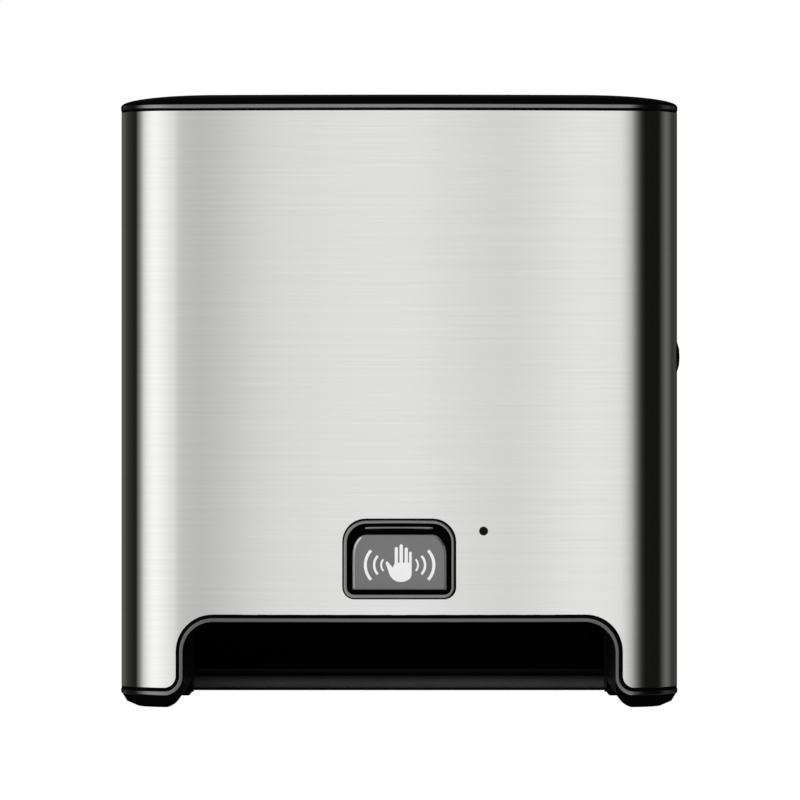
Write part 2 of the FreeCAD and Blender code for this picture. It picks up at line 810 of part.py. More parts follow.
def make_rear_housing():
    blank = casing("wall_blank", rear_plan(HOUSING_FRONT, "0"), "0", CROWN_STEPS, "foot_height")
    hollow = casing("wall_hollow", rear_plan(f"{HOUSING_FRONT} - over", "-back_plate"), "wall", HOLLOW_STEPS,
                    "foot_height - wall")
    pocket = cut("wall_pocket", hollow, *leg_walls("wall", "-back_plate"))
    shell = cut("wall_shell", blank, pocket, tunnel("wall_tunnel", "-back_plate", "rear_foot_radius"))
    spots = [(x, z) for x in ("screw_x", "-screw_x") for z in ("screw_z", "-screw_z")]
    bosses = [rod(f"screw_boss_{index}", "-Y", (x, PLATE_MIDDLE, z), "screw_boss_radius",
                  "screw_boss_height + back_plate / 2") for index, (x, z) in enumerate(spots)]
    holes = [rod(f"screw_hole_{index}", "-Y", (x, "over", z), "screw_hole_radius",
                 "screw_boss_height + back_plate + 2 * over") for index, (x, z) in enumerate(spots)]
    ear = hinge_ear()
    side = f"({OPEN_HALF} + tuck)"
    under_lip = block("under_lip", (f"-{side}", side), ("-back_plate - over", "over"), (f"-{FAR}", LIP_FOOT))
    whole = fuse("wall_body", cut("wall_trimmed", shell, under_lip), rear_lip(), *bosses, ear,
                 mirrored("ear_left", ear))
    return cut("wall_housing", whole, *holes, ear_bore("ear_bore"))


def ear_bore(name):
    bore = rod(name, "X", ("ear_x - over", "hinge_y", "hinge_z"), "pin_radius", "ear_width + 2 * over")
    return fuse(name + "_pair", bore, mirrored(name + "_left", bore))


def rear_lip():
    # the back plate sweeps forward in a hollow curve at its foot
    low, top = f"({LIP_FOOT} + wall / 2)", f"({LIP_FOOT} + wall / 2 + lip_radius)"
    path = [("-tuck", LIP_FOOT), ("-tuck", top), ("-back_plate", top, "-lip_radius"),
            ("-(back_plate + lip_radius)", low), ("-(back_plate + lip_radius)", LIP_FOOT)]
    return slab("rear_lip", "YZ", f"-({OPEN_HALF} + wall / 2)", f"{OPEN_HALF} + wall / 2", path)


def hinge_ear():
    # a gusseted tongue that carries one hinge pin inside the foot
    low, high = "hinge_z - ear_radius", "hinge_z + ear_radius"
    path = [("hinge_y", low), (PLATE_MIDDLE, low), (PLATE_MIDDLE, f"{high} + 4 * ear_radius"),
            ("hinge_y", high)]
    tongue = slab("ear_tongue", "YZ", "ear_x", "ear_x + ear_width", path)
    return fuse("ear_right", tongue, rod("ear_end", "X", ("ear_x", "hinge_y", "hinge_z"),
                                         "ear_radius", "ear_width"))


def make_hinge_pins():
    right = rod("hinge_pin_right", "X", ("ear_x - knuckle_length", "hinge_y", "hinge_z"), "pin_radius",
                "ear_width + 2 * knuckle_length")
    return fuse("hinge_pin_pair", right, mirrored("hinge_pin_left", right))


def make_latch_strike():
    # a bent steel catch that is fixed to the back plate
    half = "(latch_height / 2 + strike_margin)"
    z = (f"lock_z - {half}", f"lock_z + {half}")
    high = "(strike_x - strike_set)"
    low = f"({high} - strike_sheet)"
    foot = block("strike_foot_plate", (f"{high} - strike_foot", high),
                 ("-back_plate - strike_sheet", "-back_plate"), z)
    web = block("strike_web", (low, high), ("strike_y - 2 * strike_sheet", "-back_plate"), z)
    catch = block("strike_catch", (low, "strike_x + strike_catch"),
                  ("strike_y - 2 * strike_sheet", "strike_y - hook_grip"), z)
    return fuse("strike", foot, web, catch)


keep("rear_housing", make_rear_housing())
keep("hinge_pins", make_hinge_pins())
keep("latch_strike", make_latch_strike())


# Lock on the right side of the cover

STEM_END = "(latch_pivot_x - latch_outer + stem_gap - case_width / 2)"


def make_rosette():
    at = ("lock_y", "lock_z")
    flange = rod("rosette_flange", "X", (HALF, *at), "rosette_radius", "rosette_proud")
    sleeve = rod("rosette_sleeve", "X", (f"{HALF} - rosette_depth", *at), "button_radius + over - fit_gap",
                 "rosette_depth")
    bore = rod("rosette_bore", "X", (f"{HALF} - rosette_depth - over", *at),
               "button_radius + button_clearance", "rosette_depth + rosette_proud + 2 * over")
    return cut("rosette_ring", fuse("rosette_raw", flange, sleeve), bore)


def make_lock_button():
    # a round push button with a crowned face, and a stem whose cone tip meets the latch lever
    edge = "button_radius - button_edge"
    path = [(STEM_END, "0"), ("button_proud", "0"), ("button_proud - button_edge / 4", "button_radius / 2"),
            ("button_proud - button_edge", edge),
            ("button_proud - 2 * button_edge", "button_radius"), ("-button_skirt", "button_radius"),
            ("-button_skirt", "stem_radius"), (f"{STEM_END} + stem_radius / 4", "stem_radius")]
    body = turned("lock_knob", path)
    place(body, HALF, "lock_y", "lock_z")
    return body


def make_latch_lever():
    # the lever turns on an upright pin: the stem pushes its front arm, its rear arm ends in a hook
    low = "lock_z - latch_height / 2"
    front, back = "(lock_y - stem_radius)", "(strike_y + hook_length)"
    inner, outer = "(latch_pivot_x - latch_inner)", "(latch_pivot_x - latch_outer)"
    hook = "(strike_x - hook_gap)"
    path = [(inner, front), (outer, front), (outer, "latch_pivot_y - latch_lead"),
            ("latch_pivot_x + latch_swell - over", "latch_pivot_y - latch_swell - over"),
            ("latch_pivot_x + latch_swell", "strike_y"), ("latch_pivot_x", back),
            (hook, f"{back} - hook_length / 2"), (hook, "strike_y - over"),
            ("latch_pivot_x - latch_swell", "strike_y - over"),
            ("latch_pivot_x - latch_swell - over", "latch_pivot_y + latch_trail"),
            (inner, "latch_pivot_y - latch_pin_radius")]
    plate = slab("latch_plate", "XY", low, f"{low} + latch_height", path)
    hub = rod("latch_hub", "Z", ("latch_pivot_x", "latch_pivot_y", low), "latch_pin_radius + latch_hub_wall",
              "latch_height")
    bore = rod("latch_bore", "Z", ("latch_pivot_x", "latch_pivot_y", f"{low} - over"),
               "latch_pin_radius + shaft_clearance", "latch_height + 2 * over")
    return cut("latch_lever_body", fuse("latch_lever_raw", plate, hub), bore)


def make_latch_pin():
    half = "(button_radius + lock_margin)"
    return rod("latch_pin_rod", "Z", ("latch_pivot_x", "latch_pivot_y", f"lock_z - {half}"),
               "latch_pin_radius", f"2 * {half}")


def coil(name, start, axis, radius, wire, turns):
    # a wire spring along an axis: quarter-turn arcs that climb at a steady rate, with a square section
    pitch = value("coil_pitch")

    def on_spine(turn):
        angle = 2 * math.pi * turn
        return Vector(radius * math.cos(angle), radius * math.sin(angle), pitch * turn)

    def on_section(corner):
        angle = math.pi * corner / 2
        return Vector(radius + wire * math.cos(angle), 0, wire * math.sin(angle))

    arcs = [Part.Arc(on_spine(step / 4), on_spine((step + 0.5) / 4), on_spine((step + 1) / 4)).toShape()
            for step in range(4 * turns)]
    section = Part.makePolygon([on_section(corner) for corner in range(5)])
    spring = document.addObject("Part::Feature", name)
    spring.Shape = Part.Wire(arcs).makePipeShell([section], True, False)
    spring.Placement = FreeCAD.Placement(Vector(*[value(text) for text in start]), TURNS[axis])
    return spring


def make_latch_spring():
    start = ("latch_pivot_x", "latch_pivot_y", "lock_z + latch_height / 2 + over")
    return coil("latch_coil", start, "Z", value("latch_pin_radius + over"), value("latch_wire"), 3)


keep("lock_rosette", make_rosette())
keep("lock_button", make_lock_button())
keep("latch_lever", make_latch_lever())
keep("latch_pin", make_latch_pin())
keep("latch_spring", make_latch_spring())


# Towel roll holder: a fixed left arm, a sprung right arm and a hub on each

LEFT_END = "(roll_x - roll_length / 2)"
RIGHT_END = "(roll_x + roll_length / 2)"
LEFT_ARM = f"({LEFT_END} - roll_end_gap - tuck)"
RIGHT_ARM = f"({RIGHT_END} + roll_end_gap + tuck)"
PIVOT_X = f"({RIGHT_ARM} + arm_thickness / 2)"
PIVOT_BACK = "(-back_plate - pivot_out)"
FOOT_FRONT = "(-back_plate - foot_plate)"


def arm_blade(name, low, high, root):
    # a tapering blade, lightened by a window, from its root to the round end at the roll's axis
    grip = "arm_width / 2"
    path = [("roll_y", f"roll_z - {grip}"), (root, "roll_z - arm_width"), (root, "roll_z + arm_width"),
            ("roll_y", f"roll_z + {grip}")]
    near, far = f"{root} - arm_width / 2", "roll_y + arm_width"
    gap = [(far, f"roll_z - {grip} / 2"), (near, f"roll_z - {grip}"), (near, f"roll_z + {grip}"),
           (far, f"roll_z + {grip} / 2")]
    blade = slab(name + "_blade", "YZ", low, high, path)
    end = rod(name + "_end", "X", (low, "roll_y", "roll_z"), grip, f"({high}) - ({low})")
    window = slab(name + "_window", "YZ", f"({low}) - over", f"({high}) + over", gap)
    return cut(name + "_plate", fuse(name + "_shape", blade, end), window)


def spigot(name, axis, start):
    return rod(name, axis, (start, "roll_y", "roll_z"), "spigot_radius", "hub_length + roll_end_gap + tuck")


def make_left_arm():
    low, high = f"{LEFT_ARM} - arm_thickness", LEFT_ARM
    blade = arm_blade("left_arm", low, high, f"({FOOT_FRONT} + 2 * over)")
    foot = block("left_arm_foot", (low, f"{high} + arm_foot"), (FOOT_FRONT, "-back_plate"),
                 ("roll_z - arm_width", "roll_z + arm_width"))
    return fuse("left_arm_body", blade, foot, spigot("left_spigot", "X", f"{high} - over"))


def make_right_arm():
    low, high = RIGHT_ARM, f"{RIGHT_ARM} + arm_thickness"
    blade = arm_blade("right_arm", low, high, PIVOT_BACK)
    barrel = rod("right_barrel", "Z", (PIVOT_X, PIVOT_BACK, "roll_z - arm_width + tuck"), "barrel_radius",
                 "2 * (arm_width - tuck)")
    shape = fuse("right_arm_all", blade, barrel, spigot("right_spigot", "-X", f"{low} + over"))
    bore = rod("right_barrel_bore", "Z", (PIVOT_X, PIVOT_BACK, "roll_z - 2 * arm_width"),
               "pin_radius + pin_clearance", "4 * arm_width")
    return cut("right_arm_body", shape, bore)


def make_arm_bracket():
    # two lugs on a foot hold the upright pin that the right arm swings on
    reach = "(arm_width + lug_height)"
    foot = block("bracket_foot", (f"{PIVOT_X} - bracket_half", f"{PIVOT_X} + bracket_half"),
                 (FOOT_FRONT, "-back_plate"),
                 (f"roll_z - {reach} - lock_margin", f"roll_z + {reach} + lock_margin"))
    lugs = []
    for side, low in (("low", f"roll_z - {reach}"), ("high", "roll_z + arm_width")):
        lugs.append(block(f"bracket_lug_{side}", (f"{PIVOT_X} - barrel_radius", f"{PIVOT_X} + barrel_radius"),
                          (PIVOT_BACK, f"{FOOT_FRONT} + over"), (low, f"{low} + lug_height")))
        lugs.append(rod(f"bracket_end_{side}", "Z", (PIVOT_X, PIVOT_BACK, low), "barrel_radius",
                        "lug_height"))
    bore = rod("bracket_bore", "Z", (PIVOT_X, PIVOT_BACK, "roll_z - 2 * arm_width"), "pin_radius",
               "4 * arm_width")
    return cut("arm_bracket", fuse("arm_bracket_raw", foot, *lugs), bore)


def make_arm_pin():
    reach = "(arm_width + lug_height)"
    return rod("arm_pin_rod", "Z", (PIVOT_X, PIVOT_BACK, f"roll_z - {reach}"), "pin_radius", f"2 * {reach}")


def body_axis(body):
    return next(item for item in body.Origin.OriginFeatures if item.Role == "X_Axis"), [""]


def repeat(body, name, feature, count):
    # copies of a feature spaced evenly about the body's X axis
    document.recompute()
    pattern = body.newObject("PartDesign::PolarPattern", name)
    pattern.Originals = [feature]
    pattern.Axis = body_axis(body)
    pattern.Angle = 360
    pattern.Occurrences = count
    body.Tip = pattern


def make_hub(name, end, half_turn):
    # flange against the roll's end and a ribbed, tapered plug inside its core
    path = [("-roll_end_gap", "hub_bore"), ("hub_length", "hub_bore"), ("hub_length", "hub_radius - hub_tip"),
            ("hub_length - hub_tip", "hub_radius - hub_rib"), ("0", "hub_radius"), ("0", "hub_flange"),
            ("-roll_end_gap", "hub_flange")]
    body = turned(name, path)
    rib = body.newObject("PartDesign::Pad", name + "_rib")
    rib.Profile = profile(body, name + "_rib_outline", "YZ", "0",
                          rectangle(("-over", "over"), ("hub_radius - hub_tip", "hub_radius + hub_rib")))
    bind(rib, "Length", "hub_length - hub_tip")
    repeat(body, name + "_ribs", rib, 3)
    body.Placement = FreeCAD.Placement(Vector(), FreeCAD.Rotation(Vector(0, 0, 1), half_turn))
    place(body, end, "roll_y", "roll_z")
    return body


keep("left_roll_arm", make_left_arm())
keep("right_roll_arm", make_right_arm())
keep("right_arm_bracket", make_arm_bracket())
keep("right_arm_pin", make_arm_pin())
keep("left_hub", make_hub("left_hub_body", LEFT_END, 0))
keep("right_hub", make_hub("right_hub_body", RIGHT_END, 180))


# Feed module: frame, chute and guide

def pitch_radius(teeth):
    return f"(gear_module * {teeth} / 2)"


def idler_centre():
    # the idler sits where it meshes with both the motor's pinion and the roller's gear
    to_motor = f"({pitch_radius('pinion_teeth')} + {pitch_radius('idler_teeth')})"
    to_roller = f"({pitch_radius('idler_pinion_teeth')} + {pitch_radius('roller_teeth')})"
    run_y, run_z = "(drive_y - motor_y)", "(drive_z - motor_z)"
    span = f"sqrt({run_y}^2 + {run_z}^2)"
    along = f"(({to_motor}^2 - {to_roller}^2 + {span}^2) / (2 * {span}))"
    aside = f"sqrt({to_motor}^2 - {along}^2)"
    return (f"(motor_y + ({run_y} * {along} - {run_z} * {aside}) / {span})",
            f"(motor_z + ({run_z} * {along} + {run_y} * {aside}) / {span})")


DRIVE = ("drive_y", "drive_z")
MOTOR = ("motor_y", "motor_z")
IDLER = idler_centre()
DECK_FRONT = "(drive_y - deck_lead)"
LEFT_INNER = "(cheek_left_x + cheek)"
RIGHT_OUTER = "(cheek_right_x + cheek)"
CHEEKS = (("left", "cheek_left_x", LEFT_INNER), ("right", "cheek_right_x", RIGHT_OUTER))
INSIDE = f"(cheek_right_x - {LEFT_INNER})"
CHUTE_TOP = "(deck_z - chute_drop)"
PINCH_Y = "(drive_y - drive_radius - pinch_radius - nip_gap)"
CARRIER = ("(throat_front_y - carrier_set)", "(drive_z - carrier_drop)")


def cheek_outline():
    # side of the module: follows the chute in front and rises to the wall behind
    return [("module_rear_y", CHUTE_TOP), ("chute_front_y + chute_top_radius", CHUTE_TOP, "chute_top_radius"),
            ("chute_front_y", f"{CHUTE_TOP} - chute_top_radius"),
            ("chute_front_y", "outlet_z + chute_foot_radius", "chute_foot_radius"),
            ("chute_front_y + chute_foot_radius", "outlet_z"),
            ("outlet_y + cheek_step", "outlet_z - cheek_drop"),
            ("drive_y + cheek_back", "outlet_z + cheek_rise - rear_slope"),
            ("module_rear_y", "outlet_z + cheek_rise")]


def make_chassis():
    cheeks = [slab(f"cheek_{side}", "YZ", low, high, cheek_outline()) for side, low, high in CHEEKS]
    x = ("cheek_left_x + over", "cheek_right_x + over")
    deck_low = "deck_z - deck_thickness"
    deck = block("deck", x, (DECK_FRONT, "deck_rear_y + 2 * over"), (deck_low, "deck_z"))
    lip = block("deck_lip", x, (DECK_FRONT, f"{DECK_FRONT} + deck_thickness"),
                ("deck_z - deck_lip", "deck_z"))
    rear = block("rear_plate", x, ("module_rear_y - foot_plate", "module_rear_y"),
                 ("outlet_z + cheek_rise + rear_plate_rise", CHUTE_TOP))
    tie = block("cross_tie", x, ("drive_y + tie_out - tie_width", "drive_y + tie_out"),
                ("outlet_z + tie_rise", "outlet_z + tie_rise + tie_thickness"))
    wall_end, ramp_top = "module_rear_y - ramp_gap", "deck_z + deck_ramp_rise"
    ramp = slab("deck_ramp", "YZ", *x,
                [("deck_rear_y", deck_low), (wall_end, ramp_top),
                 (wall_end, f"{ramp_top} + deck_thickness"), ("deck_rear_y", "deck_z")])
    through = "cheek + 2 * over"
    tools = [rod("bush_holes", "X", ("cheek_left_x - over", *DRIVE), "shaft_radius + bush_wall",
                 "case_width"),
             rod("carrier_rod_holes", "X", ("cheek_left_x - over", *CARRIER), "pinch_shaft_radius",
                 "case_width"),
             rod("motor_nose_hole", "X", ("cheek_right_x - over", *MOTOR), "motor_nose", through),
             rod("idler_axle_hole", "X", ("cheek_right_x - over", *IDLER), "axle_radius", through)]
    return cut("feed_frame", fuse("feed_frame_raw", *cheeks, deck, lip, rear, tie, ramp), *tools)


def make_chute():
    # the moulded front of the module, with a rolled top and foot and posts for the sensor board
    front, low, high, skin = "chute_front_y", "outlet_z", CHUTE_TOP, "chute_thickness"
    top, foot = "chute_top_radius", "chute_foot_radius"
    back = "(outlet_y - over)"
    path = [("throat_front_y", high), (f"{front} + {top}", high, top), (front, f"{high} - {top}"),
            (front, f"{low} + {foot}", foot), (f"{front} + {foot}", low), (f"{back} + {skin}", low),
            (f"{back} + {skin}", f"{low} + bar_lap"), (back, f"{low} + bar_lap"), (back, f"{low} + {skin}"),
            (f"{front} + {foot}", f"{low} + {skin}", f"-({foot} - {skin})"),
            (f"{front} + {skin}", f"{low} + {foot}"),
            (f"{front} + {skin}", f"{high} - {top}", f"-({top} - {skin})"),
            (f"{front} + {top}", f"{high} - {skin}"), ("throat_front_y", f"{high} - {skin}")]
    posts = [rod(f"board_post_{index}", "-Y", (x, f"{front} + over", z), "post_radius",
                 f"{front} + over - board_y - board_thickness") for index, (x, z) in enumerate(board_spots())]
    return fuse("chute", slab("chute_skin", "YZ", LEFT_INNER, "cheek_right_x", path), *posts)


def board_spots():
    return [(f"{x} * (board_width / 2 - board_margin)", f"bezel_z + {z} * (board_height / 2 - board_margin)")
            for x in (-1, 1) for z in (-1, 1)]


def make_guide():
    # a thin curved plate that turns the towel forward below the rollers
    high, low = "drive_z - drive_radius - guide_gap", "outlet_z - guide_reach"
    top_y, foot_y = "(drive_y - guide_lead)", "(drive_y - guide_lead - guide_sweep)"
    return slab("guide_plate", "YZ", LEFT_INNER, "cheek_right_x",
                [(top_y, high, "-guide_radius"), (foot_y, low),
                 (f"{foot_y} + guide_thickness", low, "guide_radius + guide_thickness"),
                 (f"{top_y} + guide_thickness", high)])


BAR_TOP = "(outlet_z + bar_lap)"
TOOTH_ROOT = f"({BAR_TOP} - bar_depth + tooth_depth)"
BAR_BACK = "(outlet_y - over + chute_thickness + bar_thickness)"


def make_tear_bar():
    # a steel strip behind the chute's foot with a row of teeth along its lower edge
    body = slab("tear_strip", "XZ", BAR_BACK, f"{BAR_BACK} - bar_thickness",
                rectangle((LEFT_INNER, "cheek_right_x"), (TOOTH_ROOT, BAR_TOP)))
    first = f"({LEFT_INNER} + over)"
    middle = f"{first} + tooth_pitch / 2"
    tooth = body.newObject("PartDesign::Pad", "tooth")
    tooth.Profile = profile(body, "tooth_outline", "XZ", BAR_BACK,
                            [(first, TOOTH_ROOT), (middle, f"{TOOTH_ROOT} - tooth_depth"),
                             (f"{first} + tooth_pitch", TOOTH_ROOT), (middle, f"{TOOTH_ROOT} + over")])
    bind(tooth, "Length", "bar_thickness")
    document.recompute()
    count = int(value(f"({INSIDE} - 2 * over) / tooth_pitch"))
    row = body.newObject("PartDesign::LinearPattern", "teeth")
    row.Originals = [tooth]
    row.Direction = body_axis(body)
    row.Occurrences = count
    bind(row, "Length", f"tooth_pitch * {count - 1}")
    body.Tip = row
    return body


def make_bar_screws():
    heads = [rod(f"bar_screw_{index}", "-Y",
                 (f"{LEFT_INNER} + (0.5 + {side} * bar_screw_share) * {INSIDE}", f"{BAR_BACK} + screw_head",
                  f"{BAR_TOP} - bar_screw_drop"), "bar_screw_radius", "screw_head")
             for index, side in enumerate((-1, 0, 1))]
    return fuse("bar_screw_set", *heads)


# Drive roller, pinch roller and its sprung carrier

SLEEVES = [f"(({LEFT_INNER} + cheek_right_x) / 2 + {step} * sleeve_pitch)" for step in (-1, 0, 1)]
PLANE_A = f"({RIGHT_OUTER} + gear_gap)"
PLANE_B = f"({PLANE_A} + gear_width + gear_gap)"
PINCH = (PINCH_Y, "drive_z")


def sleeves(name, at, radius, core):
    # three rubber sleeves on one core
    return fuse(name, *[ring(f"{name}_{index}", "X", (f"{middle} - sleeve_length / 2", *at), radius, core,
                             "sleeve_length") for index, middle in enumerate(SLEEVES)])


def inner_rod(name, at, radius, gap):
    # a rod between the cheeks that stops short of both by a gap
    return rod(name, "X", (f"{LEFT_INNER} + {gap}", *at), radius, f"{INSIDE} - 2 * {gap}")


def make_drive_shaft():
    start = "(cheek_left_x - 2 * over)"
    shaft = rod("drive_shaft_rod", "X", (start, *DRIVE), "shaft_radius",
                f"{PLANE_B} + gear_width + over - {start}")
    return fuse("drive_shaft_all", inner_rod("drive_core_rod", DRIVE, "drive_core", "carrier_arm"), shaft)


def make_bushes():
    bushes = []
    for side, axis, start, way in (("left", "-X", LEFT_INNER, 1), ("right", "X", "cheek_right_x", -1)):
        face = f"({start} + {way} * bush_flange)"
        flange = rod(f"bush_flange_{side}", axis, (face, *DRIVE), "shaft_radius + bush_wall + bush_flange",
                     "bush_flange")
        sleeve = rod(f"bush_sleeve_{side}", axis, (face, *DRIVE), "shaft_radius + bush_wall",
                     "cheek + bush_flange")
        bore = rod(f"bush_bore_{side}", axis, (f"{face} + {way} * over", *DRIVE),
                   "shaft_radius + shaft_clearance", "cheek + bush_flange + 2 * over")
        bushes.append(cut(f"bush_{side}", fuse(f"bush_raw_{side}", flange, sleeve), bore))
    return fuse("bush_pair", *bushes)


def make_pinch_shaft():
    return fuse("pinch_shaft_all", inner_rod("pinch_core_rod", PINCH, "pinch_core", "3 * carrier_arm"),
                inner_rod("pinch_shaft_rod", PINCH, "pinch_shaft_radius", "carrier_arm"))


def make_pinch_frame():
    # a tube on the pivot rod with an arm at each end that holds the roller's shaft
    half, wide = "carrier_half", "(pinch_shaft_radius + carrier_root)"
    pieces = [inner_rod("carrier_tube", CARRIER, "pinch_shaft_radius + carrier_wall", "carrier_wall")]
    arms = (("left", f"({LEFT_INNER} + carrier_gap)"),
            ("right", "(cheek_right_x - carrier_gap - carrier_arm)"))
    for side, low in arms:
        path = [(f"{CARRIER[0]} + {wide}", f"{CARRIER[1]} - carrier_slant"),
                (f"{PINCH_Y} + {half}", "drive_z"), (f"{PINCH_Y} - {half}", "drive_z + over"),
                (f"{CARRIER[0]} - {wide}", f"{CARRIER[1]} + carrier_slant")]
        pieces.append(slab(f"carrier_arm_{side}", "YZ", low, f"{low} + carrier_arm", path))
        pieces.append(rod(f"carrier_eye_{side}", "X", (low, *PINCH), f"{half} + fit_gap", "carrier_arm"))
    bores = [inner_rod(f"{name}_bore", at, "pinch_shaft_radius + shaft_clearance", "-over")
             for name, at in (("carrier_pivot", CARRIER), ("carrier_eye", PINCH))]
    return cut("pinch_carrier", fuse("pinch_carrier_raw", *pieces), *bores)


def make_pinch_rod():
    return inner_rod("pinch_pivot_rod", CARRIER, "pinch_shaft_radius", "-cheek")


def make_pinch_springs():
    radius = value("pinch_shaft_radius + carrier_wall + pinch_coil_gap + pinch_wire")
    starts = (f"{LEFT_INNER} + 3 * carrier_arm", "cheek_right_x - 5 * carrier_arm")
    coils = [coil(f"pinch_coil_{index}", (x, *CARRIER), "X", radius, value("pinch_wire"), 3)
             for index, x in enumerate(starts)]
    return fuse("pinch_coils", *coils)


keep("feed_chassis", make_chassis())
keep("front_chute", make_chute())
keep("rear_guide", make_guide())
keep("tear_bar", make_tear_bar())
keep("tear_bar_screws", make_bar_screws())
keep("drive_shaft", make_drive_shaft())
keep("drive_sleeves", sleeves("drive_sleeve_set", DRIVE, "drive_radius", "drive_core"))
keep("roller_bushes", make_bushes())
keep("pinch_shaft", make_pinch_shaft())
keep("pinch_sleeves", sleeves("pinch_sleeve_set", PINCH, "pinch_radius", "pinch_core"))
keep("pinch_frame", make_pinch_frame())
keep("pinch_rod", make_pinch_rod())
keep("pinch_springs", make_pinch_springs())


# Motor and gear train on the right cheek

def direction(start, end):
    # angle of a line of centres, seen with +Y across and +Z up
    return math.degrees(math.atan2(value(end[1]) - value(start[1]), value(end[0]) - value(start[0])))


def gear(name, centre, teeth, x, bore, phase):
    # a spur gear about the X axis: a hub disc and one straight-flanked tooth, repeated
    pitch = pitch_radius(teeth)
    root, crest = f"({pitch} - gear_root * gear_module)", f"({pitch} + gear_crest * gear_module)"
    foot, tip = "(tooth_foot_half * gear_module)", "(tooth_tip_half * gear_module)"
    sunk = f"({root} - tooth_sink * gear_module)"
    body = document.addObject("PartDesign::Body", name)
    disc = body.newObject("PartDesign::Pad", name + "_disc")
    disc.Profile = circles(body, name + "_disc_outline", "YZ", "0", [("0", "0", root), ("0", "0", bore)])
    tooth = body.newObject("PartDesign::Pad", name + "_tooth")
    tooth.Profile = profile(body, name + "_tooth_outline", "YZ", "0",
                            [(sunk, f"-{foot}"), (crest, f"-{tip}"), (crest, tip), (sunk, foot)])
    for pad in (disc, tooth):
        bind(pad, "Length", "gear_width")
    repeat(body, name + "_teeth", tooth, round(value(teeth)))
    body.Placement = FreeCAD.Placement(Vector(), FreeCAD.Rotation(Vector(1, 0, 0), phase))
    place(body, x, *centre)
    return body


def make_pinion():
    return gear("pinion", MOTOR, "pinion_teeth", PLANE_A, "motor_shaft_radius", direction(MOTOR, IDLER))


def make_idler():
    # a compound gear: the wide wheel meets the motor, the small one the roller
    bore = "(axle_radius + pin_clearance)"
    wheel = gear("idler_wheel", IDLER, "idler_teeth", PLANE_A, bore,
                 direction(IDLER, MOTOR) + 180 / value("idler_teeth"))
    small = gear("idler_small", IDLER, "idler_pinion_teeth", PLANE_B, bore, direction(IDLER, DRIVE))
    hub = ring("idler_hub", "X", (f"{PLANE_A} + gear_width - fit_gap", *IDLER), "idler_hub_radius", bore,
               "gear_gap + 2 * fit_gap")
    return fuse("idler_pair", wheel, small, hub)


def make_roller_gear():
    return gear("roller_wheel", DRIVE, "roller_teeth", PLANE_B, "shaft_radius",
                direction(DRIVE, IDLER) + 180 / value("roller_teeth"))


def make_idler_axle():
    return rod("idler_axle_rod", "X", ("cheek_right_x", *IDLER), "axle_radius",
               "cheek + 3 * gear_gap + 2 * gear_width")


def make_motor():
    can = rod("motor_can", "-X", ("cheek_right_x", *MOTOR), "motor_radius", "motor_length")
    nose = rod("motor_nose_boss", "X", ("cheek_right_x - over", *MOTOR), "motor_nose", "cheek + tuck + over")
    tail = rod("motor_tail_boss", "-X", ("cheek_right_x - motor_length + over", *MOTOR), "motor_tail",
               "3 * over")
    bore = rod("motor_bore", "X", ("cheek_right_x - motor_length / 2", *MOTOR),
               "motor_shaft_radius + shaft_clearance", "motor_length")
    return cut("motor_body", fuse("motor_all", can, nose, tail), bore)


def make_motor_shaft():
    start = "(cheek_right_x - motor_length / 2 + fit_gap)"
    return rod("motor_shaft_rod", "X", (start, *MOTOR), "motor_shaft_radius",
               f"{PLANE_A} + gear_width + tuck - {start}")


COVER_Y = ("drive_y - gearbox_front", "motor_y + gearbox_rear")
COVER_Z = ("motor_z - gearbox_low", "deck_z - gearbox_gap")
GEAR_END = f"({PLANE_B} + gear_width + gear_gap + tuck)"


def make_gear_cover():
    inner_y, inner_z = [(f"{low} + gearbox_wall", f"{high} - gearbox_wall")
                        for low, high in (COVER_Y, COVER_Z)]
    shell = slab("gear_cover_blank", "YZ", RIGHT_OUTER, f"{GEAR_END} + gearbox_wall",
                 rectangle(COVER_Y, COVER_Z, "gearbox_radius"))
    hollow = slab("gear_cover_hollow", "YZ", f"{RIGHT_OUTER} - over", GEAR_END,
                  rectangle(inner_y, inner_z, "(gearbox_radius - gearbox_wall)"))
    return cut("gear_cover", shell, hollow)


def make_gear_screws():
    inset = "2 * small_screw_radius"
    spots = [(f"{COVER_Y[0]} + {inset}", f"{COVER_Z[0]} + {inset}"),
             (f"{COVER_Y[1]} - {inset}", f"{COVER_Z[0]} + {inset}"),
             (f"{COVER_Y[1]} - {inset}", f"{COVER_Z[1]} - {inset}")]
    return fuse("gear_screw_set", *[rod(f"gear_screw_{index}", "X", (f"{GEAR_END} + gearbox_wall", y, z),
                                        "small_screw_radius", "screw_head")
                                    for index, (y, z) in enumerate(spots)])


keep("motor", make_motor())
keep("motor_shaft", make_motor_shaft())
keep("motor_pinion", make_pinion())
keep("idler_axle", make_idler_axle())
keep("idler_gear", make_idler())
keep("roller_gear", make_roller_gear())
keep("gearbox_cover", make_gear_cover())
keep("gearbox_screws", make_gear_screws())


# Battery case with four cells and a side-hung door

CASE_HALF = "(cell_radius + battery_wall)"
CASE_X = (f"(battery_x - {CASE_HALF})", f"(battery_x + {CASE_HALF})")
CASE_FRONT = "(battery_rear_y - 4 * cell_radius - battery_wall)"
SEAT = "(contact_height + 2 * fit_gap)"
CELL_BAY = f"(cell_length + 2 * {SEAT})"
SHELF_LOW = f"(battery_low_z + battery_wall + {CELL_BAY})"
CASE_TOP = f"({SHELF_LOW} + shelf + {CELL_BAY} + battery_wall)"
DOOR_HINGE = (f"({CASE_X[0]} + door_barrel)", f"({CASE_FRONT} - door_barrel - tuck)")
DOOR_Z = ("(battery_low_z + door_lug + door_gap)", f"({CASE_TOP} - door_lug - door_gap)")


def cell_spots():
    return [(f"battery_rear_y - (1 + 2 * {row}) * cell_radius", low) for row in (0, 1)
            for low in (f"battery_low_z + battery_wall + {SEAT}", f"{SHELF_LOW} + shelf + {SEAT}")]


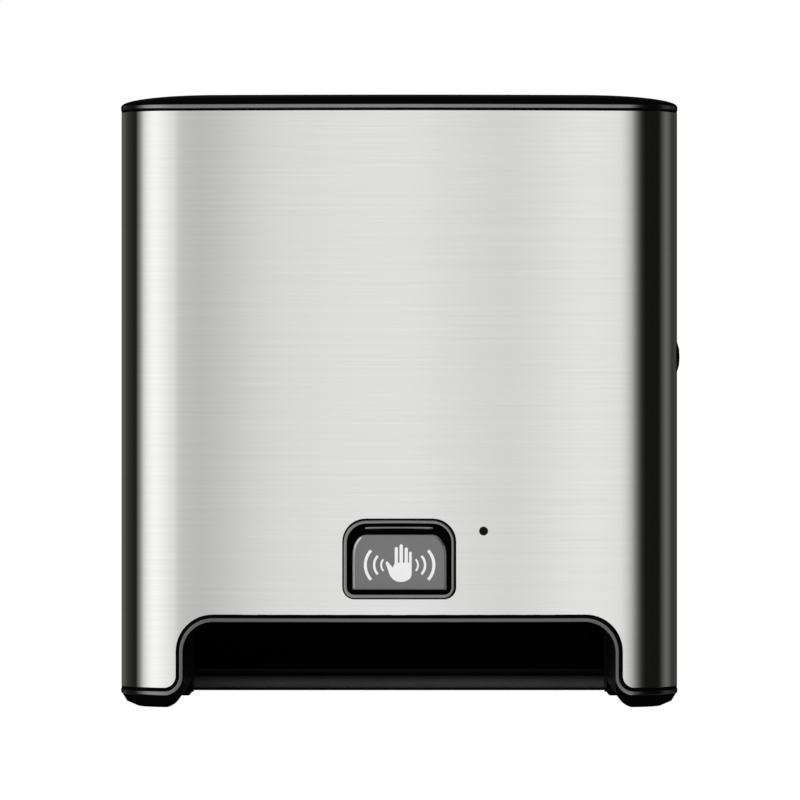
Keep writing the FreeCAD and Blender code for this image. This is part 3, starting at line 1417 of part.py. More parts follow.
def make_battery_case():
    outer = block("battery_outer", CASE_X, (CASE_FRONT, "battery_rear_y + battery_wall"),
                  ("battery_low_z", CASE_TOP))
    inner = block("battery_inner",
                  (f"{CASE_X[0]} + battery_wall - fit_gap", f"{CASE_X[1]} - battery_wall + fit_gap"),
                  (f"{CASE_FRONT} - over", "battery_rear_y + fit_gap"),
                  ("battery_low_z + battery_wall", f"{CASE_TOP} - battery_wall"))
    shelf = block("battery_shelf", (f"{CASE_X[0]} + over", f"{CASE_X[1]} - over"),
                  (f"{CASE_FRONT} + 3 * over", "battery_rear_y + over"), (SHELF_LOW, f"{SHELF_LOW} + shelf"))
    feet = [block(f"battery_foot_{index}", ("battery_x - battery_foot", "battery_x + battery_foot"),
                  ("battery_rear_y + over", "-back_plate"), (low, f"{low} + battery_foot"))
            for index, low in enumerate(("battery_low_z + battery_foot_rise",
                                         f"{CASE_TOP} - battery_foot_rise - battery_foot"))]
    lugs, pins = [], []
    for side, low, pin_low in (("low", "battery_low_z", "battery_low_z + 2 * over"),
                               ("high", f"{CASE_TOP} - door_lug", f"{CASE_TOP} - 3 * door_lug")):
        lugs.append(block(f"door_lug_{side}", (CASE_X[0], f"{DOOR_HINGE[0]} + 3 * over"),
                          (f"{DOOR_HINGE[1]} - door_barrel", f"{CASE_FRONT} + over"),
                          (low, f"{low} + door_lug")))
        pins.append(rod(f"door_pin_{side}", "Z", (*DOOR_HINGE, pin_low), "door_pin",
                        "3 * door_lug - 2 * over"))
    return fuse("battery_box", cut("battery_shell", outer, inner), shelf, *feet, *lugs, *pins)


def make_battery_door():
    low, high = DOOR_Z
    back = f"({CASE_FRONT} - door_gap)"
    leaf = block("door_leaf", (f"{DOOR_HINGE[0]} + over", CASE_X[1]), (f"{back} - battery_wall", back),
                 (low, high))
    tab = block("door_tab", (f"{CASE_X[1]} - door_tab", CASE_X[1]),
                (f"{back} - 2 * battery_wall", f"{back} - battery_wall + fit_gap"),
                (f"{SHELF_LOW} - door_tab", f"{SHELF_LOW} + door_tab"))
    barrel = rod("door_barrel_rod", "Z", (*DOOR_HINGE, low), "door_barrel", f"{high} - {low}")
    bore = rod("door_bore", "Z", (*DOOR_HINGE, f"{low} - over"), "door_pin + shaft_clearance",
               f"{high} - {low} + 2 * over")
    return cut("battery_door_body", fuse("battery_door_raw", leaf, tab, barrel), bore)


def make_batteries():
    # each cell has its raised cap at the top
    cells = []
    for index, (y, low) in enumerate(cell_spots()):
        can = rod(f"cell_can_{index}", "Z", ("battery_x", y, low), "cell_radius - fit_gap",
                  "cell_length - cell_nub_height")
        nub = rod(f"cell_nub_{index}", "Z", ("battery_x", y, low), "cell_nub", "cell_length")
        cells.append(fuse(f"cell_{index}", can, nub))
    return fuse("cell_set", *cells)


def make_contacts():
    # plated strips above and below the cells, each bridging a pair
    y = ("battery_rear_y - (3 + contact_reach) * cell_radius",
         "battery_rear_y - (1 - contact_reach) * cell_radius")
    levels = ("battery_low_z + battery_wall", f"{SHELF_LOW} - contact_height", f"{SHELF_LOW} + shelf",
              f"{CASE_TOP} - battery_wall - contact_height")
    x = ("battery_x - contact_half", "battery_x + contact_half")
    return fuse("contact_set", *[block(f"contact_{index}", x, y, (low, f"{low} + contact_height"))
                                 for index, low in enumerate(levels)])


keep("battery_case", make_battery_case())
keep("battery_door", make_battery_door())
keep("batteries", make_batteries())
keep("battery_contacts", make_contacts())


# Electronics: sensor board behind the window, and the controls on top of the module

PANEL_X = ("panel_x - panel_width / 2", "panel_x + panel_width / 2")
PANEL_Y = ("(chute_front_y + panel_set)", "(chute_front_y + panel_set + panel_depth)")
KEY_SPOT = ("panel_x - panel_width / 4", f"{PANEL_Y[0]} + panel_depth / 2")
SLOT_X = ("(panel_x + slider_set)", "(panel_x + slider_set + slider_travel + slider_width + 4 * key_gap)")
SLOT_Y = (f"({PANEL_Y[0]} + slot_low)", f"({PANEL_Y[0]} + slot_high)")
PANEL_LOW = "deck_z - panel_half - over"


def make_sensor_board():
    return block("sensor_circuit", ("-board_width / 2", "board_width / 2"),
                 ("board_y", "board_y + board_thickness"),
                 ("bezel_z - board_height / 2", "bezel_z + board_height / 2"))


def make_eyes():
    # the sender and the receiver: a barrel with a round lens each
    eyes = []
    for side, x in (("left", "-eye_spacing / 2"), ("right", "eye_spacing / 2")):
        eyes.append(rod(f"eye_barrel_{side}", "-Y", (x, "board_y", "bezel_z"), "eye_radius", "eye_length"))
        lens = document.addObject("Part::Sphere", f"eye_lens_{side}")
        bind(lens, "Radius", "eye_radius")
        place(lens, x, "board_y - eye_length", "bezel_z")
        eyes.append(lens)
    return fuse("eye_set", *eyes)


def make_control_board():
    low = "deck_z - panel_drop"
    return block("control_circuit", PANEL_X, PANEL_Y, (low, f"{low} + board_thickness"))


def make_control_panel():
    base = slab("panel_base", "XY", "deck_z - panel_half", "deck_z + panel_half",
                rectangle(PANEL_X, PANEL_Y, "panel_radius"))
    hole = rod("panel_key_hole", "Z", (*KEY_SPOT, PANEL_LOW), "feed_button_radius + key_gap",
               "2 * (panel_half + over)")
    slot = block("panel_slot", SLOT_X, SLOT_Y, (PANEL_LOW, "deck_z + panel_half + over"))
    return cut("panel", base, hole, slot)


def make_feed_button():
    return rod("feed_key", "Z", (*KEY_SPOT, "deck_z"), "feed_button_radius", "key_height")


def make_slider():
    start = f"({SLOT_X[0]} + 2 * key_gap)"
    return block("slider_knob", (start, f"{start} + slider_width"),
                 (f"{SLOT_Y[0]} + key_gap", f"{SLOT_Y[1]} - key_gap"), ("deck_z", "deck_z + key_height"))


def make_module_screws():
    spots = [(x, "module_rear_y - foot_plate", z)
             for x in ("cheek_left_x + module_screw_x", "cheek_right_x - module_screw_x")
             for z in ("deck_z - module_screw_drop", "outlet_z + module_screw_rise")]
    spots += [(f"{LEFT_ARM} + arm_foot / 2", FOOT_FRONT, f"roll_z + {side} * arm_screw_pitch / 2")
              for side in (-1, 1)]
    heads = [rod(f"module_screw_{index}", "-Y", spot, "screw_head_radius", "screw_head")
             for index, spot in enumerate(spots)]
    return fuse("module_screw_set", *heads)


keep("sensor_board", make_sensor_board())
keep("sensor_eyes", make_eyes())
keep("control_board", make_control_board())
keep("control_panel", make_control_panel())
keep("feed_button", make_feed_button())
keep("range_slider", make_slider())
keep("module_screws", make_module_screws())


export_all()
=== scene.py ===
import math
import bmesh
import bpy
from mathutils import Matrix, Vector


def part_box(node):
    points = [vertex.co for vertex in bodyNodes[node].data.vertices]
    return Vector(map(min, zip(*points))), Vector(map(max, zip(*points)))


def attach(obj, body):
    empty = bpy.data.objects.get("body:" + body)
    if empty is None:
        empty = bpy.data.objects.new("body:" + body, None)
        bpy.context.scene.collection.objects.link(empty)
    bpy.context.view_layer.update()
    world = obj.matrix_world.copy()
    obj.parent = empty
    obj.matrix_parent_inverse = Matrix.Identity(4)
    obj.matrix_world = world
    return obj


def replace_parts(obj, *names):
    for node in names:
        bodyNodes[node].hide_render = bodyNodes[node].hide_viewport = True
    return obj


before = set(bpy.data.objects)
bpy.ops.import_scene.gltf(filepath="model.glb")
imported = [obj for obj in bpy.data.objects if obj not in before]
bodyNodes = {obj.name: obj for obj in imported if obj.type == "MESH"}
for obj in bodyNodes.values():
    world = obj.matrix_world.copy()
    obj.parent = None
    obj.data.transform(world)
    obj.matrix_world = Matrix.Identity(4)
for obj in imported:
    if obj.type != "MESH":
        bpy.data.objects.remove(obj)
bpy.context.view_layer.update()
mm = 0.001
print("frame loaded:", len(bodyNodes), "nodes")


# Sizes of the case, taken from the frame where it has them

steelLow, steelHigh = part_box("steel_panel")
shellLow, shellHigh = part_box("cover_shell")
bezelLow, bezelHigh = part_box("sensor_bezel")
windowLow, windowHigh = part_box("sensor_window")

case = {
    "half": steelHigh.x,
    "front": steelLow.y,
    "top": shellHigh.z,
    "bottom": shellLow.z,
    "seam": shellHigh.y,
    "crownRise": 7.3 * mm,
    "crownSide": 61 * mm,        # how far the crown runs in from each side
    "crownFront": 40 * mm,       # and from the front
    "crownCorner": 0.75,         # share of the corner's round that the crown loses
    "corner": 34 * mm,
    "bow": 1400 * mm,
}
case["rim"] = case["top"] - case["crownRise"]


def casePlan(inset=0.0, lean=0.0):
    # centres and radii of the case seen from above, drawn in for the crown by lean
    half = case["half"] - inset - case["crownSide"] * lean
    bow = case["bow"] - inset - case["crownFront"] * lean
    corner = (case["corner"] - inset) * (1 - case["crownCorner"] * lean)
    bowY = case["bow"] + case["front"]
    cornerX = half - corner
    cornerY = bowY - math.sqrt((bow - corner) ** 2 - cornerX ** 2)
    return {"half": half, "bow": bow, "corner": corner, "bowY": bowY, "cornerX": cornerX,
            "cornerY": cornerY, "turn": math.asin(cornerX / (bow - corner))}


def planAtTurn(plan, turn):
    # a point of the front or a corner, by the way its surface faces: 0 is straight ahead
    side = math.copysign(1, turn)
    turn = abs(turn)
    if turn <= plan["turn"]:
        return Vector((side * plan["bow"] * math.sin(turn), plan["bowY"] - plan["bow"] * math.cos(turn)))
    return Vector((side * (plan["cornerX"] + plan["corner"] * math.sin(turn)),
                   plan["cornerY"] - plan["corner"] * math.cos(turn)))


def turnAtX(plan, x):
    # the way the surface faces at a distance from the middle
    bowEdge = plan["bow"] * math.sin(plan["turn"])
    if abs(x) <= bowEdge:
        return math.asin(x / plan["bow"])
    share = min(1.0, (abs(x) - plan["cornerX"]) / plan["corner"])
    return math.copysign(math.asin(share), x)


def outward(turn):
    return Vector((math.sin(turn), -math.cos(turn), 0))


def linked(name, data):
    thing = bpy.data.objects.new(name, data)
    bpy.context.scene.collection.objects.link(thing)
    return thing


def newPiece(name, bm, body, material, smooth=True, turned=False):
    # turns a bmesh into a piece that rides on a CAD body; turned makes its faces look outward first
    if turned:
        bmesh.ops.recalc_face_normals(bm, faces=bm.faces)
    mesh = bpy.data.meshes.new(name)
    bm.to_mesh(mesh)
    bm.free()
    piece = linked(name, mesh)
    for face in mesh.polygons:
        face.use_smooth = smooth
    mesh.materials.append(material)
    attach(piece, body)
    return piece


def spread(first, last, steps):
    # evenly spaced values from first to last
    return [first + (last - first) * step / steps for step in range(steps + 1)]


def joinRows(bm, rows, closed=False):
    # quads between each row of vertices and the next
    for first, second in zip(rows, rows[1:]):
        pairs = list(zip(first, second))
        for (a, b), (c, d) in zip(pairs, pairs[1:] + (pairs[:1] if closed else [])):
            bm.faces.new((a, b, d, c))


def gridOf(bm, rows, closed=False):
    # a surface over rows of places
    rows = [[bm.verts.new(place) for place in row] for row in rows]
    joinRows(bm, rows, closed)
    return rows


# Shader helpers

def feed(tree, node, given):
    # sets inputs of a node, or links them where another node's output is given
    for label, value in given.items():
        if isinstance(value, bpy.types.NodeSocket):
            tree.links.new(value, node.inputs[label])
        else:
            node.inputs[label].default_value = value
    return node


def added(tree, kind, given, operation=None):
    node = tree.nodes.new(kind)
    if operation:
        node.operation = operation
    return feed(tree, node, given)


def combined(tree, operation, first, second=0.0):
    return added(tree, "ShaderNodeMath", {0: first, 1: second}, operation).outputs[0]


def times(tree, first, second):
    return combined(tree, "MULTIPLY", first, second)


def plus(tree, first, second):
    return combined(tree, "ADD", first, second)


def scaled(tree, colour, share):
    return added(tree, "ShaderNodeVectorMath", {0: colour, "Scale": share}, "SCALE").outputs[0]


def mixed(tree, share, first, second):
    mix = tree.nodes.new("ShaderNodeMix")
    mix.data_type = "RGBA"
    return feed(tree, mix, {"Factor": share, 6: first, 7: second}).outputs[2]


def eased(tree, value, low, high, top=1.0):
    # rises smoothly from 0 at low to top at high
    ease = tree.nodes.new("ShaderNodeMapRange")
    ease.interpolation_type = "SMOOTHSTEP"
    feed(tree, ease, {"Value": value, "From Min": low, "From Max": high, "To Max": top})
    return ease.outputs["Result"]


def partsOf(tree, source):
    # X, Y and Z of one kind of texture coordinate
    place = tree.nodes.new("ShaderNodeTexCoord")
    return added(tree, "ShaderNodeSeparateXYZ", {0: place.outputs[source]}).outputs


def stretchedNoise(tree, stretch, detail):
    # noise whose cells are as long, deep and high as stretch says, in metres
    place = tree.nodes.new("ShaderNodeTexCoord").outputs["Object"]
    scale = added(tree, "ShaderNodeMapping", {"Vector": place, "Scale": [1 / size for size in stretch]})
    noise = {"Vector": scale.outputs[0], "Scale": 1, "Detail": detail, "Roughness": 0.6}
    return added(tree, "ShaderNodeTexNoise", noise).outputs["Fac"]


def bumped(tree, height, strength, distance):
    bump = {"Height": height, "Strength": strength, "Distance": distance}
    return added(tree, "ShaderNodeBump", bump).outputs["Normal"]


def socketed(name, inputs, outputs):
    # a node group; a socket is a colour if it starts with one or is called Color
    group = bpy.data.node_groups.new(name, "ShaderNodeTree")
    for label, start in inputs.items():
        kind = "NodeSocketColor" if isinstance(start, tuple) else "NodeSocketFloat"
        socket = group.interface.new_socket(name=label, in_out="INPUT", socket_type=kind)
        socket.default_value = start
    for label in outputs:
        kind = "NodeSocketColor" if label == "Color" else "NodeSocketFloat"
        group.interface.new_socket(name=label, in_out="OUTPUT", socket_type=kind)
    return group, group.nodes.new("NodeGroupInput").outputs, group.nodes.new("NodeGroupOutput")


# Shader groups

brushLook = {
    # length, depth and height of the scratches
    "fine": (60 * mm, 60 * mm, 0.25 * mm),
    "broad": (160 * mm, 160 * mm, 1.6 * mm),
    "patch": (45 * mm, 45 * mm, 14 * mm),
    "fineShare": 0.6,
    "tone": 0.35,                # how much they change the sheet's brightness
    "relief": (0.25, 0.02 * mm),
}


def makeBrushGroup():
    # long scratches of a brushed sheet: fine lines, fainter broad ones and a few deeper strokes
    look = brushLook
    group, given, result = socketed("brushedLines", {"Strength": 1.0}, ("Height", "Tone"))
    fine = times(group, stretchedNoise(group, look["fine"], 3), look["fineShare"])
    broad = times(group, stretchedNoise(group, look["broad"], 2), 1 - look["fineShare"])
    centred = combined(group, "SUBTRACT", plus(group, fine, broad), 0.5)
    patch = plus(group, stretchedNoise(group, look["patch"], 2), 0.5)
    height = times(group, times(group, centred, patch), given["Strength"])
    feed(group, result, {"Height": plus(group, height, 0.5),
                         "Tone": plus(group, times(group, height, look["tone"]), 1.0)})
    return group


mouldLook = {
    "grain": 0.5 * mm,
    "cloud": 38 * mm,
    "cloudDulls": 0.25,          # how much the cloudy patches change the roughness
    "relief": (0.3, 0.05 * mm),
    "metalRelief": (0.3, 0.03 * mm),
}


def makeMouldGroup():
    # the fine even texture of a moulded plastic, with faint cloudy patches
    look = mouldLook
    group, given, result = socketed(
        "mouldedGrain", {"Base": (0.5, 0.5, 0.5, 1), "Grain": 0.4, "Roughness": 0.4, "Cloud": 0.1},
        ("Color", "Roughness", "Height"))
    fine = stretchedNoise(group, (look["grain"],) * 3, 2)
    away = combined(group, "SUBTRACT", stretchedNoise(group, (look["cloud"],) * 3, 3), 0.5)
    tone = plus(group, times(group, away, given["Cloud"]), 1.0)
    feed(group, result, {"Color": scaled(group, given["Base"], tone),
                         "Roughness": plus(group, given["Roughness"], times(group, away, look["cloudDulls"])),
                         "Height": times(group, fine, given["Grain"])})
    return group


# painted light that grows towards the bottom of a surface
heightLightLook = {
    "edge": 0.6 * mm,            # height over which the upper edge comes in
    "patch": (30 * mm, 8 * mm, 8 * mm),
    "uneven": 0.5,
}


def makeHeightLightGroup():
    # painted light: a paler colour that comes in at a level and grows into its full strength at a lower one
    look = heightLightLook
    group, given, result = socketed(
        "paintedLightByHeight",
        {"Base": (0.01, 0.01, 0.01, 1), "PaintedLight": (0.1, 0.1, 0.1, 1), "Low": 0.0, "High": 1.0, "Start": 0.0},
        ("Color",))
    level = partsOf(group, "Object")["Z"]
    share = added(group, "ShaderNodeMapRange", {"Value": level, "From Min": given["High"],
                                                "From Max": given["Low"], "To Min": given["Start"]})
    below = combined(group, "SUBTRACT", given["High"], level)
    edge = added(group, "ShaderNodeMapRange", {"Value": below, "From Max": look["edge"]})
    paintedShare = times(group, combined(group, "POWER", share.outputs["Result"], 2), edge.outputs["Result"])
    patch = times(group, stretchedNoise(group, look["patch"], 3), look["uneven"])
    uneven = plus(group, patch, 1 - look["uneven"] / 2)
    feed(group, result, {"Color": mixed(group, times(group, paintedShare, uneven), given["Base"], given["PaintedLight"])})
    return group


blackLook = {
    # painted shade: the ordinary black comes in between these: how far a surface faces back, how far up, and
    # its level
    "back": (-0.3, -0.02),
    "up": (-0.6, -0.3),
    "level": (-131 * mm, -125 * mm),
    "cool": 1.03,
    "coatRoughness": 0.22,
}


def makeBlackGroup():
    # black plastic with painted shade: darkest where it faces the room or lies in the hand opening, ordinary
    # everywhere else; only the ordinary parts get the coat
    look = blackLook
    group, given, result = socketed(
        "blackPlastic", {"Dark": (0.0025, 0.0025, 0.0025, 1), "Plain": (0.02, 0.02, 0.02, 1), "Coat": 0.5,
                         "ByFacing": 1.0, "ByLevel": 0.0}, ("Color", "Coat"))
    faces = partsOf(group, "Normal")
    away = times(group, eased(group, faces["Y"], *look["back"]), eased(group, faces["Z"], *look["up"]))
    above = eased(group, partsOf(group, "Object")["Z"], *look["level"])
    share = combined(group, "MAXIMUM", times(group, away, given["ByFacing"]),
                     times(group, above, given["ByLevel"]))
    feed(group, result, {"Color": mixed(group, share, given["Dark"], given["Plain"]),
                         "Coat": times(group, share, given["Coat"])})
    return group


cellLook = {
    "low": -71.3 * mm,           # level of the lowest cell's foot
    "pitch": 65 * mm,
    "collar": 0.7,               # share of a cell's height where the second colour begins
    "line": 0.012,
    "end": 0.7,
    "sleeve": (0.016, 0.045, 0.15, 1),
    "collarTone": (0.42, 0.44, 0.46, 1),
    "lineTone": (0.75, 0.55, 0.2, 1),
    "endTone": (0.6, 0.6, 0.58, 1),
    "lineMetal": 0.8,
    "rough": (0.22, 0.15),       # of the sleeve, and how much more at the ends
}


def makeCellGroup():
    # printed sleeve of the cells: two colours parted by a line on each cell, bare metal at the ends
    look = cellLook
    group, given, result = socketed("cellSleeve", {"Low": look["low"], "Pitch": look["pitch"]},
                                    ("Color", "Metal", "Rough"))
    height = combined(group, "SUBTRACT", partsOf(group, "Object")["Z"], given["Low"])
    place = combined(group, "FRACT", combined(group, "DIVIDE", height, given["Pitch"]))
    collar = combined(group, "GREATER_THAN", place, look["collar"])
    away = combined(group, "ABSOLUTE", combined(group, "SUBTRACT", place, look["collar"]))
    line = combined(group, "LESS_THAN", away, look["line"])
    facing = combined(group, "ABSOLUTE", partsOf(group, "Normal")["Z"])
    ends = combined(group, "GREATER_THAN", facing, look["end"])
    colour = look["sleeve"]
    for mask, tone in ((collar, "collarTone"), (line, "lineTone"), (ends, "endTone")):
        colour = mixed(group, mask, colour, look[tone])
    metal = combined(group, "MAXIMUM", ends, times(group, line, look["lineMetal"]))
    sleeve, more = look["rough"]
    feed(group, result, {"Color": colour, "Metal": metal,
                         "Rough": plus(group, times(group, ends, more), sleeve)})
    return group


boardLook = {
    "track": (7 * mm, 1.9 * mm, 0.22 * mm),      # length, pitch and width
    "pads": 3.8 * mm,
    "padSize": 0.2,
    "mask": (0.01, 0.085, 0.035, 1),
    "trackTone": (0.03, 0.2, 0.085, 1),
    "tin": (0.62, 0.6, 0.54, 1),
    "relief": (0.4, 0.06 * mm),
}


def makeBoardGroup():
    # circuit board: solder mask with raised tracks under it and rows of tinned pads
    look = boardLook
    group, given, result = socketed("circuitBoard", {"Pad": look["padSize"]}, ("Color", "Metal", "Height"))
    parts = partsOf(group, "Object")
    flat = added(group, "ShaderNodeCombineXYZ", {"X": parts["X"], "Y": plus(group, parts["Y"], parts["Z"])})
    length, pitch, width = look["track"]
    tracks = added(group, "ShaderNodeTexBrick", {
        "Vector": flat.outputs[0], "Scale": 1, "Brick Width": length, "Row Height": pitch,
        "Mortar Size": width, "Mortar Smooth": 0.1}).outputs["Fac"]
    dots = added(group, "ShaderNodeTexVoronoi",
                 {"Vector": flat.outputs[0], "Scale": 1 / look["pads"], "Randomness": 0})
    pad = combined(group, "LESS_THAN", dots.outputs["Distance"], given["Pad"])
    colour = mixed(group, pad, mixed(group, tracks, look["mask"], look["trackTone"]), look["tin"])
    feed(group, result, {"Color": colour, "Metal": pad, "Height": combined(group, "MAXIMUM", tracks, pad)})
    return group


brushGroup = makeBrushGroup()
mouldGroup = makeMouldGroup()
heightLightGroup = makeHeightLightGroup()
blackGroup = makeBlackGroup()
cellGroup = makeCellGroup()
boardGroup = makeBoardGroup()


# Materials

def newMaterial(name):
    material = bpy.data.materials.new(name)
    material.use_nodes = True
    tree = material.node_tree
    return material, tree, tree.nodes["Principled BSDF"]


def placed(tree, group, given):
    node = tree.nodes.new("ShaderNodeGroup")
    node.node_tree = group
    return feed(tree, node, given).outputs


def brushedSteel(name, tint, rough, lines):
    # a rolled and brushed sheet: reflections spread up and down, hardly at all sideways
    material, tree, shader = newMaterial(name)
    brush = placed(tree, brushGroup, {"Strength": lines})
    feed(tree, shader, {"Base Color": scaled(tree, tint, brush["Tone"]), "Metallic": 1, "Roughness": rough,
                        "Anisotropic": 1, "Anisotropic Rotation": 0.25,
                        "Normal": bumped(tree, brush["Height"], *brushLook["relief"])})
    return material


def moulded(name, base, rough, grain, cloud, gloss=0.5, metal=0, relief=mouldLook["relief"], black=None):
    # an evenly textured surface; black holds the inputs of blackGroup where that gives the colour
    material, tree, shader = newMaterial(name)
    base = (*base, 1)
    if black:
        shade = placed(tree, blackGroup, black)
        base = shade["Color"]
        feed(tree, shader, {"Coat Weight": shade["Coat"], "Coat Roughness": blackLook["coatRoughness"]})
    mould = placed(tree, mouldGroup, {"Base": base, "Roughness": rough, "Grain": grain, "Cloud": cloud})
    feed(tree, shader, {"Base Color": mould["Color"], "Roughness": mould["Roughness"], "Metallic": metal,
                        "Specular IOR Level": gloss, "Normal": bumped(tree, mould["Height"], *relief)})
    return material


def blackPlastic(name, rough, grain, byFacing, byLevel, dark, plain, coat):
    black = {"Dark": (dark, dark, dark, 1), "Plain": (plain, plain, plain * blackLook["cool"], 1),
             "Coat": coat, "ByFacing": byFacing, "ByLevel": byLevel}
    return moulded(name, (dark,) * 3, rough, grain, 0.2, 0.0, black=black)


def satinMetal(name, base, rough):
    return moulded(name, base, rough, 0.15, 0.1, metal=1)


def bareMetal(name, base, rough):
    return moulded(name, base, rough, 0.3, 0.3, metal=1, relief=mouldLook["metalRelief"])


def levelled(name, tones, given):
    # a finish whose colour changes with height as painted light; tones holds the inputs of the painted-light
    # group
    material, tree, shader = newMaterial(name)
    feed(tree, shader, {"Base Color": placed(tree, heightLightGroup, tones)["Color"], **given})
    return material


def cellSleeve(name):
    material, tree, shader = newMaterial(name)
    sleeve = placed(tree, cellGroup, {})
    feed(tree, shader, {"Base Color": sleeve["Color"], "Metallic": sleeve["Metal"],
                        "Roughness": sleeve["Rough"]})
    return material


def circuitBoard(name):
    material, tree, shader = newMaterial(name)
    board = placed(tree, boardGroup, {})
    feed(tree, shader, {"Base Color": board["Color"], "Metallic": board["Metal"], "Roughness": 0.3,
                        "Normal": bumped(tree, board["Height"], *boardLook["relief"])})
    return material


steelFinish = brushedSteel("brushedSteelFront", (0.78, 0.785, 0.765), 0.2, 0.55)
# the black finishes are painted darker where they face the room or lie in the hand opening: painted shade
caseFinish = blackPlastic("caseGlossBlack", 0.2, 0.1, 1, 0, 0.0014, 0.013, 0.6)
satinFinish = blackPlastic("housingSatinBlack", 0.32, 0.3, 1, 1, 0.0008, 0.018, 0.4)
innerFinish = blackPlastic("innerMattBlack", 0.6, 0.5, 0, 1, 0.0008, 0.03, 0.2)
trimFinish = satinMetal("trimSatin", (0.24, 0.24, 0.238), 0.3)
topFinish = satinMetal("topTrimSatin", (0.225, 0.225, 0.222), 0.17)
bevelHighlightFinish = satinMetal("windowBevelHighlight", (0.6, 0.6, 0.595), 0.3)
# the bead over the arch: a darker copy of the trim as painted shade, painted paler towards the feet as a
# painted highlight
archFinish = levelled("archTrimSatin", {"Base": (0.135, 0.135, 0.133, 1), "PaintedLight": (0.2, 0.2, 0.198, 1),
                                        "High": -170 * mm, "Low": -180 * mm},
                      {"Roughness": 0.2, "Metallic": 1})
windowFinish = moulded("windowGrey", (0.165, 0.165, 0.165), 0.25, 0.1, 0.05)
signFinish = moulded("signWhite", (0.93, 0.93, 0.93), 0.4, 0.1, 0.02, 0.3)

slotFinish = {
    "case_black": caseFinish,
    "inner_black": innerFinish,
    "brushed_steel": steelFinish,
    "window_grey": windowFinish,
    "lamp": moulded("lampSmoke", (0.002, 0.002, 0.002), 0.08, 0.05, 0.0, 0.08),
    "spring_steel": bareMetal("springSteel", (0.5, 0.5, 0.5), 0.3),
    "roller_rubber": moulded("rollerRubber", (0.03, 0.03, 0.032), 0.75, 1.0, 0.3, 0.3),
    "gear_plastic": moulded("gearAcetal", (0.62, 0.61, 0.57), 0.4, 0.3, 0.08),
    "module_grey": moulded("moduleGrey", (0.10, 0.105, 0.11), 0.5, 0.6, 0.2, 0.4),
    "motor_steel": bareMetal("motorCan", (0.56, 0.56, 0.57), 0.28),
    "cell_wrap": cellSleeve("cellSleeve"),
    "contact_metal": bareMetal("contactNickel", (0.66, 0.63, 0.56), 0.25),
    "board_green": circuitBoard("boardGreen"),
    "button_grey": moulded("buttonGrey", (0.22, 0.225, 0.23), 0.45, 0.3, 0.1),
    "hub_blue": moulded("hubGrey", (0.3, 0.31, 0.33), 0.35, 0.3, 0.1),
}
nodeFinish = {
    "rear_housing": satinFinish,
    "tear_bar": innerFinish,
    "cover_shell": caseFinish,
    "lock_rosette": trimFinish,
}
for name, node in bodyNodes.items():
    slotName = node.data.materials[0].name.split(".")[0]
    node.data.materials[0] = nodeFinish.get(name, slotFinish[slotName])
print("materials made")


# Steel front

steelSheet = {
    "rear": -100 * mm,
    "thickness": 0.8 * mm,
    "edge": 0.28 * mm,           # rounding of the cut edges
    "archHalf": 137.4 * mm,
    "archRound": 23 * mm,
    "footRound": 7.2 * mm,
    "footRows": 8,
    "step": 5 * mm,
    "cornerSteps": 26,
    "archSteps": 12,
    "sideSteps": 8,
    "holeMargin": 5 * mm,        # width of the ring of cells round the frame; half of it round the lamp
    "holeFoot": 4 * mm,          # and below the frame
    "holeGap": 0.25 * mm,        # room between the sheet and the sensor frame
    "lampGap": 0.04 * mm,
    "holeTurn": 0.2,             # cells that face further round to a side than this always stay
    "columnGap": (0.02 * mm, 0.8 * mm),  # nearest that columns may lie to each other, and to a hole's ring
    "tiny": 0.01 * mm,
    "easeIn": 8 * mm,            # the bow starts to turn into the corner this far before it
    "easeOut": 6 * mm,
}
steelSheet["foot"] = steelLow.z - 0.2 * mm
steelSheet["top"] = steelHigh.z
steelSheet["archTop"] = case["bottom"] + 57.5 * mm

bezel = {
    "half": bezelHigh.x,
    "low": bezelLow.z,
    "high": bezelHigh.z,
    "face": bezelLow.y,
    "topRound": 14 * mm,
    "footRound": 7 * mm,
}
lamp = {
    "x": 51.8 * mm,
    "z": (bezelLow.z + bezelHigh.z) / 2 + 17.1 * mm,
    "radius": 2.5 * mm,
}


def shapedOutline(half, low, high, foot, shoulder, crowned=0.0, steps=10, between=1):
    # closed outline as (x, z) pairs, with elliptical rounds given as (across, up) and a slightly arched top
    corners = ((half, low, foot, -90, -1, 1), (half, high, shoulder, 0, -1, -1),
               (-half, high, shoulder, 90, 1, -1), (-half, low, foot, 180, 1, 1))
    outline = []
    for x, z, (across, up), start, inX, inZ in corners:
        for angle in map(math.radians, spread(start, start + 90, steps)):
            outline.append((x + inX * across + across * math.cos(angle), z + inZ * up + up * math.sin(angle)))
    top = 2 * (steps + 1)
    right, left = outline[top - 1][0], outline[top][0]
    outline[top:top] = [(x, high) for x in spread(right, left, between)[1:-1]]
    middle = (low + high) / 2
    return [(x, z + crowned * (1 - (x / half) ** 2) if z > middle else z) for x, z in outline]


def steelColumns(plan):
    # distances from the middle at which the sheet gets a column of vertices
    sheet = steelSheet
    edge = sheet["edge"]
    half, round_, foot = sheet["archHalf"] + edge, sheet["archRound"] + edge, sheet["footRound"] - edge
    count = int(half / sheet["step"])
    xs = {half} | {half * index / count for index in range(count)}
    for angle in spread(0, math.pi / 2, sheet["archSteps"]):
        xs.add(half - round_ + round_ * math.cos(angle))
        xs.add(half + foot - foot * math.cos(angle))
    xs.update(planAtTurn(plan, turn).x for turn in spread(plan["turn"], math.pi / 2, sheet["cornerSteps"]))
    reach = lamp["radius"] + sheet["holeMargin"] / 2
    marks = {bezel["half"] + sheet["holeMargin"], lamp["x"] - reach, lamp["x"] + reach}
    nearest, clear = sheet["columnGap"]
    kept = []
    for x in sorted({x for x in xs if min(abs(x - mark) for mark in marks) > clear} | marks):
        if not kept or x - kept[-1] > nearest:
            kept.append(x)
    return kept


